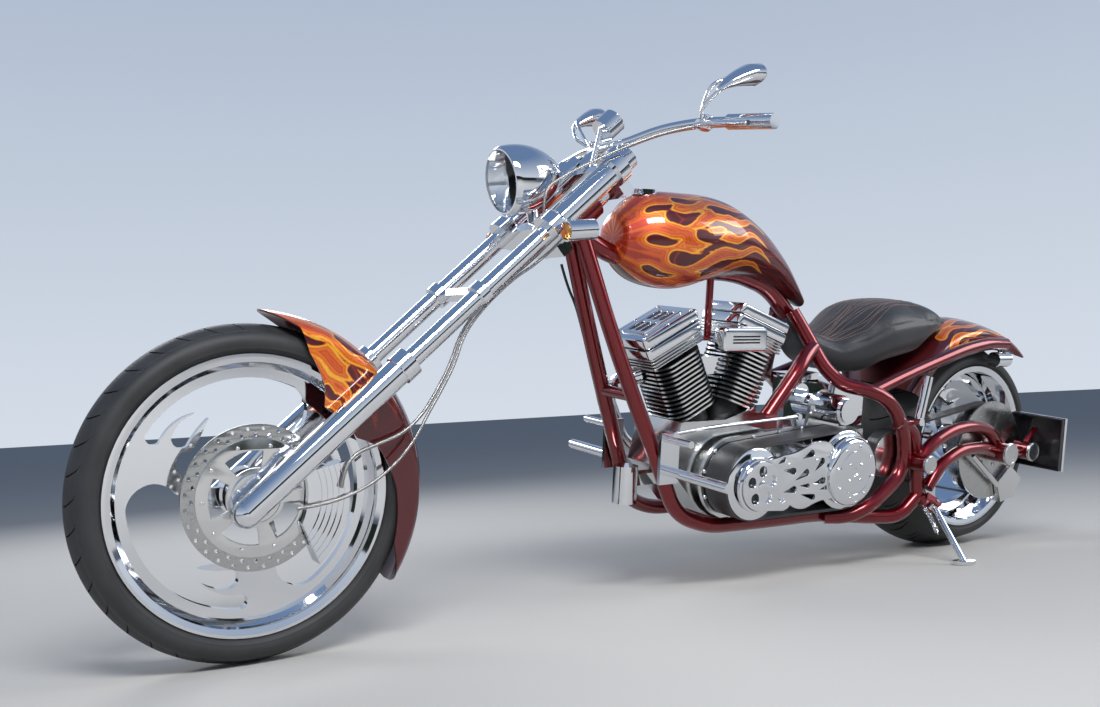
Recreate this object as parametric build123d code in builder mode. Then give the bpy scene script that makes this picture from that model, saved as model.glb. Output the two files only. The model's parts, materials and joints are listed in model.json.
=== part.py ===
from build123d import *
import os
from math import atan2, cos, degrees, radians, sin, sqrt

os.makedirs("parts", exist_ok=True)

# A chopper motorcycle in millimetres. Everything is drawn upright, with +X forward, +Y to the rider's
# left, +Z up and the origin where the rear tyre meets the ground. The last lines lean it on its stand.

# Stance
wheelbase = 2233
rake = 49.5  # fork tubes, from the vertical
trail_offset = 60  # fork tubes ahead of the steering axis
steer_turn = -5.6  # parked with the front turned a little to the right
park_lean = 10.0

# Front wheel
front_tyre_radius = 350
front_tyre_width = 120
front_crown = 60
front_lip_radius = 289
front_rim_half = 50
front_hub_radius = 32
front_ring = 239
plate_half = 10
front_axle_radius = 12
rotor_radius = 149
rotor_band = 29
carrier_inner = 98
carrier_bolts = 107
carrier_hub = 52
rotor_thickness = 5
rotor_offset = 70  # from the wheel's middle to the disc's middle

# Rear wheel
rear_tyre_radius = 333
rear_tyre_width = 300
rear_crown = 170
rear_lip_radius = 248
rear_rim_half = 143
rear_hub_radius = 45
rear_ring = 196
rear_plate_y = 60
rear_axle_radius = 14

# Fork
fork_half = 108
fork_tube_radius = 21.5
slider_radius = 30
slider_low = -52
slider_top = 385
collar_top = 420
can_low = 905
can_top = 1150
can_radius = 30
lower_tree_at = 875
upper_tree_at = 1085
tree_thickness = 32
brace_at = 640
head_low = 899
head_top = 1062
head_radius = 36
stem_radius = 24

# Frame tubes
frame_tube = 20
backbone_tube = 24
cross_tube = 15
saddle_radius = 11
tunnel_rise = 37  # from the backbone's middle to the roof of the tank's tunnel
tunnel_half = 32
post_y = 216
stand_pivot = (306, 250, 200)
stand_hinge_way = (-0.04, 0.69, 0.70)
stand_eye = 20
stand_pin = 6
swingarm_y = 240
cap_y = 285
boss_radius = 24
rear_fender_half = 159

# Engine
crank = (975, 305)
front_lean = 26
rear_lean = -19
case_half = 88
case_radius = 112
fin_first = 192
fin_pitch = 12.6
fin_count = 13
fin_thickness = 5
fin_half = 75
barrel_radius = 58
rocker_low = 358
rocker_high = 452
rocker_half = 78

# Primary drive
clutch = (635, 317)
plate_y = 104
starter_at = (645, 480)
plate_thickness = 12
belt_in = 120
belt_width = 76
front_belt_radius = 97
rear_belt_radius = 112
belt_thickness = 8
cover_y = 212
cover_thickness = 8

# Final drive
output = (447, 345)
output_radius = 66
final_radius = 136
final_in = 157
final_width = 36
final_thickness = 6

fit_gap = 0.3
run_gap = 0.6

front_axle = (wheelbase, 0, front_tyre_radius)
rear_axle = (0, 0, rear_tyre_radius)
axle_high = rear_tyre_radius
tube_way = (-sin(radians(rake)), 0, cos(radians(rake)))
tube_front = (cos(radians(rake)), 0, sin(radians(rake)))
FORK = Plane(origin=front_axle, x_dir=tube_front, z_dir=tube_way)
STEERING = Axis((FORK * Location((-trail_offset, 0, 0))).position, tube_way)
head_middle = FORK.from_local_coords((-trail_offset, 0, (head_low + head_top) / 2))
FRONT_SECTION = Plane(origin=front_axle, x_dir=(0, 1, 0), z_dir=(1, 0, 0))
REAR_SECTION = Plane(origin=rear_axle, x_dir=(0, 1, 0), z_dir=(1, 0, 0))
FRONT_AXIS = Axis(front_axle, (0, 1, 0))
REAR_AXIS = Axis(rear_axle, (0, 1, 0))
# Across the stand's hinge pin, its y towards the bracket that holds it
STAND_HINGE = Plane(origin=stand_pivot, x_dir=(0.69, 0.52, -0.50), z_dir=stand_hinge_way)

def at_head(*points):
    """Points that are given from the middle of the steering head, and so keep to the fork."""
    return [(head_middle.X + x, y, head_middle.Z + z) for x, y, z in points]


def wheel_low(centre, axle_way, radius, crown, up):
    """The height of a leaning tyre's lowest point along a given up."""
    slope = axle_way.dot(up)
    return centre.dot(up) - (radius - crown) * sqrt(1 - slope**2) - crown


# The ground, from the lean and from where both tyres touch
lean_up = Vector(0, -sin(radians(park_lean)), cos(radians(park_lean)))
turned_axle = Vector(*front_axle) - STEERING.position
turned_axle = STEERING.position + turned_axle.rotate(Axis((0, 0, 0), tube_way), steer_turn)
turned_way = Vector(0, 1, 0).rotate(Axis((0, 0, 0), tube_way), steer_turn)
rear_low = wheel_low(Vector(*rear_axle), Vector(0, 1, 0), rear_tyre_radius, rear_crown, lean_up)
front_low = wheel_low(turned_axle, turned_way, front_tyre_radius, front_crown, lean_up)
park_pitch = degrees(atan2(front_low - rear_low, wheelbase))
ground_up = lean_up.rotate(Axis.Y, -park_pitch)


def ground_height(x, y):
    """The upright frame's z at which a point lies on the ground."""
    return (rear_low - ground_up.X * x - ground_up.Y * y) / ground_up.Z


pieces = []


def keep(piece, node, body):
    """Notes a finished sub-part, its node's name and the body that it moves with."""
    pieces.append((piece, node, body))


def side_plane(centre, y):
    """A plane seen from the rider's left: its x runs to the rear, its y up, its normal out to the left."""
    return Plane(origin=(centre[0], y, centre[-1]), x_dir=(-1, 0, 0), z_dir=(0, 1, 0))


def bar(points, radius, bends=None):
    """Sweeps a round bar along straight runs joined by tangent arcs."""
    if bends is None:
        bends = bend_radii(points)
    with BuildLine() as path:
        route = FilletPolyline(*points, radius=bends) if len(points) > 2 else Line(*points)
    with BuildSketch(Plane(origin=route @ 0, z_dir=route % 0)) as section:
        Circle(radius)
    sweep(section.sketch, path=path.line)


def bend_radii(points, share=0.45):
    """The largest arc that fits each corner of a route."""
    found = []
    for a, b, c in zip(points, points[1:], points[2:]):
        one = Vector(*b) - Vector(*a)
        two = Vector(*c) - Vector(*b)
        half_turn = radians(one.get_angle(two)) / 2
        found.append(share * min(one.length, two.length) / max(sin(half_turn) / cos(half_turn), 1e-4))
    return found


def disc(centre, radius, y_low, y_high, mode=Mode.ADD):
    """A round boss whose axis runs across the motorcycle."""
    with BuildSketch(side_plane(centre, y_low)) as round_face:
        Circle(radius)
    extrude(round_face.sketch, amount=y_high - y_low, mode=mode)


def polar(radius, angle):
    """A point of a side plane, its angle measured up from the rearward level."""
    return (radius * cos(radians(angle)), radius * sin(radians(angle)))


def both_sides():
    """Adds the mirror image of what the open part holds."""
    mirror(about=Plane.XZ)


# Tyres

with BuildPart() as front_tyre:
    with BuildSketch(FRONT_SECTION):
        with BuildLine():
            seat = front_lip_radius - 11.7
            Line((0, seat), (44.5, seat))
            Line((44.5, seat), (44.5, front_lip_radius + 1))
            crown_end = (38, front_tyre_radius - front_crown + sqrt(front_crown**2 - 38**2))
            ThreePointArc((44.5, front_lip_radius + 1), (front_tyre_width / 2, 311), crown_end)
            crown_mid = (20, front_tyre_radius - front_crown + sqrt(front_crown**2 - 20**2))
            ThreePointArc(crown_end, crown_mid, (0, front_tyre_radius))
            Line((0, front_tyre_radius), (0, seat))
        make_face()
    revolve(axis=FRONT_AXIS)
    both_sides()
keep(front_tyre, "front_tyre", "front_wheel")

with BuildPart() as rear_tyre:
    with BuildSketch(REAR_SECTION):
        with BuildLine():
            seat = rear_lip_radius - 11.7
            Line((0, seat), (136, seat))
            Line((136, seat), (136, rear_lip_radius + 1))
            crown_end = (98, rear_tyre_radius - rear_crown + sqrt(rear_crown**2 - 98**2))
            crown_mid = (50, rear_tyre_radius - rear_crown + sqrt(rear_crown**2 - 50**2))
            shoulder = (141, 281)
            ThreePointArc((136, rear_lip_radius + 1), (148, 262), shoulder)
            Line(shoulder, crown_end)
            ThreePointArc(crown_end, crown_mid, (0, rear_tyre_radius))
            Line((0, rear_tyre_radius), (0, seat))
        make_face()
    revolve(axis=REAR_AXIS)
    both_sides()
keep(rear_tyre, "rear_tyre", "rear_wheel")

# Wheels


def rim_ring(section, axis, lip, half, well):
    """The rim's hoop: two lips, two bead seats and a well between them."""
    with BuildSketch(section) as hoop:
        with BuildLine():
            Polyline(
                (0, lip - 12 - well),
                (half * 0.4, lip - 12 - well),
                (half * 0.55, lip - 12),
                (half - 5, lip - 12),
                (half - 5, lip),
                (half, lip),
                (half, lip - 6),
                (half - 5, lip - 17),
                (half * 0.6, lip - 19),
                (half * 0.42, lip - 19 - well),
                (0, lip - 19 - well),
                close=True,
            )
        make_face()
    revolve(hoop.sketch, axis=axis)
    both_sides()


# One spoke's outline about the hub, from its rear root round to its front root, for a ring of 239
# arc's middle radius and angle, arc's end radius and angle
spoke_start = (40, 215)
spoke_arcs = [
    (96, 188, 140, 177),
    (163, 171, 187, 170),
    (222, 175.5, 240, 187),
    (252, 165, 240, 145),
    (220, 150, 207, 147),
    (209, 134, 198.5, 121.5),
    (201, 131, 198, 138),
    (178, 144, 158, 139),
    (165, 129, 176, 116),
    (154, 127.5, 145, 141),
    (160, 150, 150, 158),
    (108, 166, 40, 150),
]
spoke_ring = 239


def flame_plate(centre, ring, rim, y_low, y_high, turn):
    """Three spokes that lean over into curled tongues, cut from one plate with the ring round them."""
    size = ring / spoke_ring
    with BuildSketch() as spoke:
        with BuildLine():
            here = polar(spoke_start[0] * size, spoke_start[1])
            for mid_radius, mid_angle, end_radius, end_angle in spoke_arcs:
                there = polar(end_radius * size, end_angle)
                ThreePointArc(here, polar(mid_radius * size, mid_angle), there)
                here = there
            Line(here, polar(spoke_start[0] * size, spoke_start[1]))
        make_face()
    with BuildSketch(side_plane(centre, y_low)) as plate:
        Circle(rim)
        Circle(ring, mode=Mode.SUBTRACT)
        with PolarLocations(0, 3, start_angle=turn):
            add(spoke.sketch)
        Circle(45 * size)
    extrude(plate.sketch, amount=y_high - y_low)


with BuildPart() as front_rim:
    rim_ring(FRONT_SECTION, FRONT_AXIS, front_lip_radius, front_rim_half, 10)
    flame_plate(front_axle, front_ring, front_lip_radius - 28, -plate_half, plate_half, 0)
    disc(front_axle, front_hub_radius + 22, -22, 22)
    disc(front_axle, front_hub_radius, -60, 60)
    disc(front_axle, front_axle_radius + run_gap, -70, 70, Mode.SUBTRACT)
keep(front_rim, "front_rim", "front_wheel")


def brake_disc(centre, y, hub_low):
    """A disc on a bolted carrier with three arms, and the hub that it is carried by."""
    half = rotor_thickness / 2
    with BuildSketch(side_plane(centre, y - half)) as band:
        Circle(rotor_radius)
        Circle(rotor_radius - rotor_band, mode=Mode.SUBTRACT)
    extrude(band.sketch, amount=rotor_thickness)
    with BuildSketch(side_plane(centre, y - half - 1)) as carrier:
        Circle(rotor_radius - rotor_band + 5)
        Circle(carrier_inner, mode=Mode.SUBTRACT)
        Circle(carrier_hub)
        with PolarLocations(0, 3, start_angle=50):
            with Locations((carrier_inner * 0.75, 0)):
                Rectangle(carrier_inner * 0.7, 24)
    extrude(carrier.sketch, amount=rotor_thickness + 3)
    with BuildSketch(side_plane(centre, y - half - 1)) as bolts:
        with PolarLocations(carrier_bolts, 10, start_angle=2):
            Circle(7)
    extrude(bolts.sketch, amount=rotor_thickness + 6)
    disc(centre, carrier_hub, hub_low, y + half + 5)


with BuildPart() as front_rotors:
    brake_disc(front_axle, rotor_offset, 60)
    disc(front_axle, front_axle_radius + run_gap, 50, 90, Mode.SUBTRACT)
    both_sides()
keep(front_rotors, "front_rotors", "front_wheel")

with BuildPart() as rear_rim:
    rim_ring(REAR_SECTION, REAR_AXIS, rear_lip_radius, rear_rim_half, 12)
    flame_plate(rear_axle, rear_ring, rear_lip_radius - 30, rear_plate_y - plate_half, rear_plate_y + plate_half, 200)
    disc(rear_axle, rear_hub_radius + 12, rear_plate_y - 26, rear_plate_y + 26)
    disc(rear_axle, rear_hub_radius, -150, final_in - 1)
    disc(rear_axle, rear_axle_radius + run_gap, -160, 160, Mode.SUBTRACT)
keep(rear_rim, "rear_rim", "rear_wheel")

with BuildPart() as rear_pulley:
    disc(rear_axle, final_radius, final_in, final_in + final_width)
    disc(rear_axle, final_radius - 16, final_in + 8, final_in + final_width, Mode.SUBTRACT)
    with BuildSketch(side_plane(rear_axle, final_in - 1)):
        with PolarLocations(84, 5):
            Circle(20)
    extrude(amount=30, mode=Mode.SUBTRACT)
    disc(rear_axle, rear_hub_radius, final_in, final_in + final_width)
    disc(rear_axle, rear_axle_radius + run_gap, 150, 200, Mode.SUBTRACT)
keep(rear_pulley, "rear_pulley", "rear_wheel")

# Axles

with BuildPart() as front_axle_bar:
    disc(front_axle, front_axle_radius, -fork_half, fork_half)
keep(front_axle_bar, "front_axle", "steering")

with BuildPart() as rear_axle_bar:
    disc(rear_axle, rear_axle_radius, -swingarm_y, swingarm_y)
keep(rear_axle_bar, "rear_axle", "root")

# Fork and trees


def fork_leg(side):
    """A slider with its collar, the bright tube above it and the fat can between the trees."""
    # from, to, radius
    runs = [
        (slider_low + 14, slider_top, slider_radius),
        (slider_top, collar_top, slider_radius + 4),
        (collar_top, can_low, fork_tube_radius),
        (can_low, can_top, can_radius),
    ]
    for low, high, radius in runs:
        with BuildSketch(FORK.offset(low)) as ring:
            with Locations((0, side * fork_half)):
                Circle(radius)
        extrude(ring.sketch, amount=high - low)
    with Locations(FORK * Location((0, side * fork_half, slider_low + 14))):
        Sphere(slider_radius - 0.01)


with BuildPart() as fork_left:
    fork_leg(1)
    disc(front_axle, front_axle_radius, 40, fork_half + 1, Mode.SUBTRACT)
keep(fork_left, "fork_left", "steering")

with BuildPart() as fork_right:
    fork_leg(-1)
    disc(front_axle, front_axle_radius, -fork_half - 1, -40, Mode.SUBTRACT)
keep(fork_right, "fork_right", "steering")


def clamp_bridge(at, thickness, reach, waist, back):
    """A bridge between the tubes, bored for both."""
    with BuildSketch(FORK.offset(at)) as web:
        with Locations((0, fork_half), (0, -fork_half)):
            Circle(reach)
        with Locations((-back / 2, 0)):
            Rectangle(waist, 2 * fork_half)
    extrude(web.sketch, amount=thickness)


with BuildPart() as fork_clamps:
    clamp_bridge(lower_tree_at - 14, tree_thickness, 40, 84, trail_offset)
    clamp_bridge(upper_tree_at, tree_thickness, 40, 84, trail_offset)
    clamp_bridge(brace_at - 12, 24, 29, 20, 0)
    with BuildSketch(FORK.offset(lower_tree_at)):
        with Locations((-trail_offset, 0)):
            Circle(stem_radius)
    extrude(amount=upper_tree_at + 10 - lower_tree_at)
    add(fork_left.part, mode=Mode.SUBTRACT)
    add(fork_right.part, mode=Mode.SUBTRACT)
keep(fork_clamps, "fork_clamps", "steering")

# Handlebar and what it carries

# Left half of the bar's route, from the middle to the end
bar_route = at_head((-103, 0, 189), (-103, 70, 189), (-160, 146, 219), (-212, 218, 229), (-246, 290, 225),
                    (-272, 415, 211))
bar_radius = 12.7
grip_radius = 18

with BuildPart() as handlebar:
    bar(bar_route, bar_radius)
    bar([bar_route[-2], bar_route[-1]], grip_radius)
    both_sides()
    with BuildSketch(FORK.offset(upper_tree_at + tree_thickness)):
        with Locations((10, 45), (10, -45)):
            Circle(16)
    extrude(amount=60)
keep(handlebar, "handlebar", "steering")

with BuildPart() as hand_controls:
    bar(at_head((-196, 226, 222), (-205, 300, 217), (-212, 395, 205)), 6)
    with Locations(*at_head((-220, 236, 227))):
        Box(42, 30, 30)
    bar(at_head((-222, 240, 239), (-233, 285, 284), (-246, 318, 309)), 5)
    with Locations(*at_head((-249, 325, 327))):
        Box(10, 104, 52)
    add(handlebar.part, mode=Mode.SUBTRACT)
    both_sides()
keep(hand_controls, "hand_controls", "steering")

with BuildPart() as speedometer:
    with BuildSketch(FORK.offset(1196)):
        with Locations((56, 0)):
            Circle(31)
    extrude(amount=46)
    bar(at_head((-87, 0, 237), (-59, 0, 137)), 6)
    add(fork_clamps.part, mode=Mode.SUBTRACT)
keep(speedometer, "speedometer", "steering")

# Headlight

lamp_centre = at_head((142, 0, 97))[0]
lamp_drop = 10
lens_radius = 72
LAMP = Plane(origin=lamp_centre, x_dir=(0, 1, 0), z_dir=(cos(radians(lamp_drop)), 0, -sin(radians(lamp_drop))))

with BuildPart() as headlight:
    with BuildSketch(Plane(origin=LAMP.origin, x_dir=LAMP.z_dir, z_dir=LAMP.x_dir)):
        with BuildLine():
            Line((50, 0), (-120, 0))
            ThreePointArc((-120, 0), (-60, 62), (36, 82))
            Line((36, 82), (50, 76))
            Line((50, 76), (50, 0))
        make_face()
    revolve(axis=Axis(LAMP.origin, LAMP.z_dir))
    with BuildSketch(LAMP.offset(42)):
        Circle(lens_radius + fit_gap)
    extrude(amount=20, mode=Mode.SUBTRACT)
    bar(at_head((108, 0, 34), (100, 0, -23)), 14)
    add(fork_clamps.part, mode=Mode.SUBTRACT)
keep(headlight, "headlight", "steering")

with BuildPart() as headlight_lens:
    with BuildSketch(LAMP.offset(42 + fit_gap)):
        Circle(lens_radius)
    extrude(amount=8)
    with BuildSketch(Plane(origin=LAMP.origin, x_dir=LAMP.z_dir, z_dir=LAMP.x_dir)):
        with BuildLine():
            Line((50, 0), (62, 0))
            ThreePointArc((62, 0), (59, 40), (50, lens_radius))
            Line((50, lens_radius), (50, 0))
        make_face()
    revolve(axis=Axis(LAMP.origin, LAMP.z_dir))
keep(headlight_lens, "headlight_lens", "steering")

with BuildPart() as front_signals:
    bar(at_head((50, 178, -27), (122, 178, -34)), 24)
    bar(at_head((86, 158, -29), (86, 140, -27)), 8)
    both_sides()
    add(fork_clamps.part, mode=Mode.SUBTRACT)
keep(front_signals, "front_signals", "steering")

# Front fender

front_fender_radius = 381
front_fender_half = 74
front_fender_drop = 26
fender_sheet = 4


def fender_section(section, axis, radius, half, drop, skirt):
    """A sheet bent over the wheel: a crowned top and two flat sides."""
    with BuildSketch(section) as arch:
        with BuildLine():
            ThreePointArc((-half, radius - drop), (0, radius), (half, radius - drop))
            Line((half, radius - drop), (half, skirt))
            Line((half, skirt), (half - fender_sheet, skirt))
            Line((half - fender_sheet, skirt), (half - fender_sheet, radius - drop - 2))
            ThreePointArc(
                (half - fender_sheet, radius - drop - 2),
                (0, radius - fender_sheet),
                (fender_sheet - half, radius - drop - 2),
            )
            Line((fender_sheet - half, radius - drop - 2), (fender_sheet - half, skirt))
            Line((fender_sheet - half, skirt), (-half, skirt))
            Line((-half, skirt), (-half, radius - drop))
        make_face()
    revolve(arch.sketch, axis=axis)


with BuildPart() as front_fender:
    fender_section(FRONT_SECTION, FRONT_AXIS, front_fender_radius, front_fender_half, front_fender_drop, 200)
    # radius and angle of the side's edge, from the front tip down to the tail
    edge = [(371, 92), (311, 75), (264, 57), (228, 51), (241, 27), (276, 19), (303, 0), (328, -30), (420, -33), (560, 0)]
    with BuildSketch(side_plane(front_axle, -100)):
        with BuildLine():
            Polyline(*[polar(r, a) for r, a in edge], polar(560, 60), polar(430, 92), close=True)
        make_face()
    extrude(amount=200, mode=Mode.INTERSECT)
    for at in (250, 320):
        boss = FORK.from_local_coords((0, 0, at))
        with BuildSketch(side_plane((boss.X, boss.Z), front_fender_half - fender_sheet)):
            Circle(11)
        extrude(amount=fork_half - slider_radius - front_fender_half + fender_sheet + 6)
    both_sides()
    add(fork_left.part, mode=Mode.SUBTRACT)
    add(fork_right.part, mode=Mode.SUBTRACT)
keep(front_fender, "front_fender", "steering")



def caliper(centre, radius_in, radius_out, low_angle, high_angle, y_low, width, gap_at):
    """A ribbed caliper that reaches over a disc."""
    with BuildSketch(side_plane(centre, y_low)) as shape:
        with BuildLine():
            mid = (low_angle + high_angle) / 2
            one, two = polar(radius_out, high_angle), polar(radius_out, low_angle)
            three, four = polar(radius_in, low_angle + 16), polar(radius_in, high_angle + 6)
            ThreePointArc(one, polar(radius_out, mid), two)
            Line(two, three)
            ThreePointArc(three, polar(radius_in - 4, mid), four)
            Line(four, one)
        make_face()
    extrude(shape.sketch, amount=width)
    with BuildSketch(side_plane(centre, y_low + width - 3)) as grooves:
        for radius in (radius_out - 12, radius_out - 24, radius_out - 36, radius_out - 48):
            Circle(radius)
            Circle(radius - 5, mode=Mode.SUBTRACT)
            Circle(radius - 12.1)
    extrude(grooves.sketch, amount=5, mode=Mode.SUBTRACT)
    disc(centre, rotor_radius + 5, gap_at - 8, gap_at + 8, Mode.SUBTRACT)


with BuildPart() as front_calipers:
    caliper(front_axle, 106, 190, -49, 20, 50, 48, rotor_offset)
    both_sides()
    add(fork_left.part, mode=Mode.SUBTRACT)
    add(fork_right.part, mode=Mode.SUBTRACT)
keep(front_calipers, "front_calipers", "steering")

# Frame

backbone_route = at_head((-8, 0, -16), (-148, 0, -79)) + [(1100, 0, 842), (900, 0, 838), (770, 0, 800), (690, 0, 728)]

with BuildPart() as frame_backbone:
    with BuildSketch(FORK.offset(head_low)):
        with Locations((-trail_offset, 0)):
            Circle(head_radius)
    extrude(amount=head_top - head_low)
    bar(backbone_route, backbone_tube)
    for front, back in (backbone_route[1:3], backbone_route[3:5]):
        along = (Vector(*front) - Vector(*back)).normalized()
        saddle = (Vector(*front) + Vector(*back)) / 2 + Vector(0, 0, tunnel_rise)
        saddle -= Vector(-along.Z, 0, along.X) * (saddle_radius + fit_gap)
        disc((saddle.X, 0, saddle.Z), saddle_radius, fit_gap - tunnel_half, tunnel_half - fit_gap)
    with BuildSketch(FORK.offset(head_low - 5)):
        with Locations((-trail_offset, 0)):
            Circle(stem_radius + 1)
    extrude(amount=head_top - head_low + 10, mode=Mode.SUBTRACT)
keep(frame_backbone, "frame_backbone", "root")

# From the tank's tail under the seat, round behind the gearbox and forward to the lower rail
seat_rail = [(700, 30, 738), (666, 72, 655), (645, 108, 588), (610, 148, 543), (556, 190, 533), (500, 214, 510),
             (448, 216, 462), (415, 216, 394), (408, 216, 332), (428, 216, 284), (481, 216, 250), (545, 217, 212),
             (600, 190, 182), (650, 150, 178)]
strut_route = [(530, 190, 528), (398, 186, 566), (290, 182, 594), (130, 182, 636), (10, 182, 655), (-81, 182, 652)]
post_route = [(448, 216, 440), (385, 216, 420), (360, 216, 360), (350, 216, 300), (338, 216, 225)]
boss_point = (380, 328)
diagonal_route = [(862, 111, 456), (745, 111, 588), (705, 96, 622), (664, 82, 640)]

with BuildPart() as frame_rear:
    bar(seat_rail, frame_tube)
    bar(strut_route, frame_tube - 1)
    bar(post_route, frame_tube)
    disc((boss_point[0], 0, boss_point[1]), boss_radius, post_y, cap_y)
    for x, z in ((130, 637), (215, 613)):
        disc((x, 0, z), 9, rear_fender_half, 170)
    bar(diagonal_route, 21)
    with Locations((862, case_half + 23, 452)):
        Box(44, 46, 40)
    both_sides()
    bar([(338, post_y, 225), tuple(Vector(*stand_pivot) + (Vector(338, post_y, 225) - Vector(*stand_pivot)) * 0.45)], 16)
    for side in (1, -1):
        with BuildSketch(STAND_HINGE.offset(side * (stand_eye / 2 + run_gap))):
            Circle(15)
            with Locations((0, -20)):
                Rectangle(24, 30)
        extrude(amount=side * 8)
    with BuildSketch(STAND_HINGE.offset(-30)):
        Circle(stand_pin + fit_gap)
    extrude(amount=60, mode=Mode.SUBTRACT)
    add(frame_backbone.part, mode=Mode.SUBTRACT)
keep(frame_rear, "frame_rear", "root")

with BuildPart() as frame_cradle:
    bar(at_head((-16, 26, -26)) + [(1342, 46, 678), (1278, 62, 525), (1192, 86, 330), (1150, 98, 222), (1050, 112, 183),
         (850, 122, 180), (640, 132, 182), (500, 165, 166), (400, 205, 166), (342, post_y, 222)], frame_tube)
    both_sides()
    for x, half, z in ((1278, 62, 525), (crank[0], 115, crank[1] - case_radius - cross_tube - fit_gap), (640, 132, 182)):
        disc((x, 0, z), cross_tube, -half, half)
    add(frame_rear.part, mode=Mode.SUBTRACT)
    add(frame_backbone.part, mode=Mode.SUBTRACT)
keep(frame_cradle, "frame_cradle", "root")

with BuildPart() as swingarm:
    bar([(372, swingarm_y, 330), (322, swingarm_y, 378), (240, swingarm_y, 410), (140, swingarm_y, axle_high + 87),
         (50, swingarm_y, axle_high + 69), (0, swingarm_y, axle_high + 12)], frame_tube - 2)
    bar([(328, swingarm_y, 250), (276, swingarm_y, 312), (188, swingarm_y, axle_high + 17),
         (80, swingarm_y, axle_high + 19), (0, swingarm_y, axle_high - 3)], frame_tube - 2)
    disc(rear_axle, boss_radius + 6, 212, cap_y)
    add(frame_rear.part, mode=Mode.SUBTRACT)
    both_sides()
    disc(rear_axle, rear_axle_radius, -swingarm_y, swingarm_y, Mode.SUBTRACT)
keep(swingarm, "swingarm", "root")

# Tank

# middle x, middle z, half width, half height
tank_sections = [
    (head_middle.X - 138, head_middle.Z - 29, 62, 66),
    (head_middle.X - 208, head_middle.Z - 25, 118, 112),
    (head_middle.X - 318, head_middle.Z - 27, 140, 123),
    (1000, 924, 130, 104),
    (880, 902, 102, 76),
    (770, 852, 68, 48),
    (680, 786, 42, 28),
]

with BuildPart() as tank:
    for x, z, half_width, half_height in tank_sections:
        with BuildSketch(Plane(origin=(x, 0, z), x_dir=(0, 1, 0), z_dir=(1, 0, 0))):
            Ellipse(half_width, half_height)
    loft()
    with BuildSketch(Plane.XZ.offset(-tunnel_half)):
        with BuildLine():
            over = [(x, z + tunnel_rise) for x, y, z in backbone_route]
            Polyline(*over, (600, 600), (1500, 600), close=True)
        make_face()
    extrude(amount=2 * tunnel_half, mode=Mode.SUBTRACT)
keep(tank, "tank", "root")

with BuildPart() as fuel_cap:
    with BuildSketch(Plane.XY.offset(head_middle.Z + 83)):
        with Locations((head_middle.X - 223, 0)):
            Circle(33)
    extrude(amount=14)
    add(tank.part, mode=Mode.SUBTRACT)
keep(fuel_cap, "fuel_cap", "root")

# Rear fender

rear_fender_radius = 390
rear_fender_drop = 34

with BuildPart() as rear_fender:
    fender_section(REAR_SECTION, REAR_AXIS, rear_fender_radius, rear_fender_half, rear_fender_drop, 325)
    with BuildSketch(side_plane(rear_axle, -200)):
        with BuildLine():
            Polyline((0, 0), polar(560, 48), polar(560, 90), polar(560, 150), close=True)
        make_face()
    extrude(amount=400, mode=Mode.INTERSECT)
keep(rear_fender, "rear_fender", "root")

# Seat

# x and z along the top, then along the underside
seat_side = [(705, 730), (617, 676), (555, 668), (480, 712), (410, 762), (350, 773), (235, 768), (185, 758), (125, 722),
             (165, 660), (276, 622), (400, 592), (500, 562), (570, 570), (628, 622), (668, 684)]
# x and half width
seat_plan = [(705, 45), (640, 72), (560, 100), (470, 132), (380, 150), (200, 152), (125, 128)]

with BuildPart() as tube_room:
    bar(seat_rail[:7], frame_tube + 1)
    bar(strut_route[:4], frame_tube)
    bar(backbone_route[2:], backbone_tube + 1)
    both_sides()

with BuildPart() as seat:
    with BuildSketch(Plane.XZ.offset(-170)):
        Polygon(*seat_side, align=None)
    extrude(amount=340)
    with BuildSketch(Plane.XY.offset(400)):
        outline = seat_plan + [(x, -y) for x, y in reversed(seat_plan)]
        Polygon(*outline, align=None)
    extrude(amount=500, mode=Mode.INTERSECT)
    disc(rear_axle, rear_fender_radius + 1, -200, 200, Mode.SUBTRACT)
    add(tube_room.part, mode=Mode.SUBTRACT)
keep(seat, "seat", "root")

# Engine


def cylinder_plane(lean, at):
    """Across a cylinder, at a distance from the crank along its axis."""
    way = (sin(radians(lean)), 0, cos(radians(lean)))
    origin = (crank[0] + at * way[0], 0, crank[1] + at * way[2])
    return Plane(origin=origin, x_dir=(cos(radians(lean)), 0, -sin(radians(lean))), z_dir=way)


with BuildPart() as crankcase:
    with BuildSketch(side_plane(crank, -case_half)):
        Circle(case_radius)
        Polygon((-188, 30), (-75, -92), (20, -100), (150, -60), (180, 60), (95, 178), (-10, 150), (-160, 150), align=None)
    extrude(amount=2 * case_half)
keep(crankcase, "crankcase", "root")

with BuildPart() as cylinders:
    for lean in (front_lean, rear_lean):
        with BuildSketch(cylinder_plane(lean, 130)):
            Circle(barrel_radius)
        extrude(amount=rocker_low - 130)
        for n in range(fin_count):
            with BuildSketch(cylinder_plane(lean, fin_first + n * fin_pitch)):
                RectangleRounded(2 * fin_half, 2 * fin_half, 42)
            extrude(amount=fin_thickness)
    add(crankcase.part, mode=Mode.SUBTRACT)
keep(cylinders, "cylinders", "root")

with BuildPart() as rocker_boxes:
    for lean, shift in ((front_lean, 8), (rear_lean, 10)):
        with BuildSketch(cylinder_plane(lean, rocker_low)):
            with Locations((shift, 0)):
                Rectangle(190, 2 * rocker_half)
        extrude(amount=rocker_high - rocker_low)
keep(rocker_boxes, "rocker_boxes", "root")

with BuildPart() as coil_cover:
    with Locations((950, 104, 668)):
        Box(120, 46, 54)
    disc((985, 0, 664), 9, 20, 90)
    add(cylinders.part, mode=Mode.SUBTRACT)
    add(rocker_boxes.part, mode=Mode.SUBTRACT)
keep(coil_cover, "coil_cover", "root")

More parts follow.
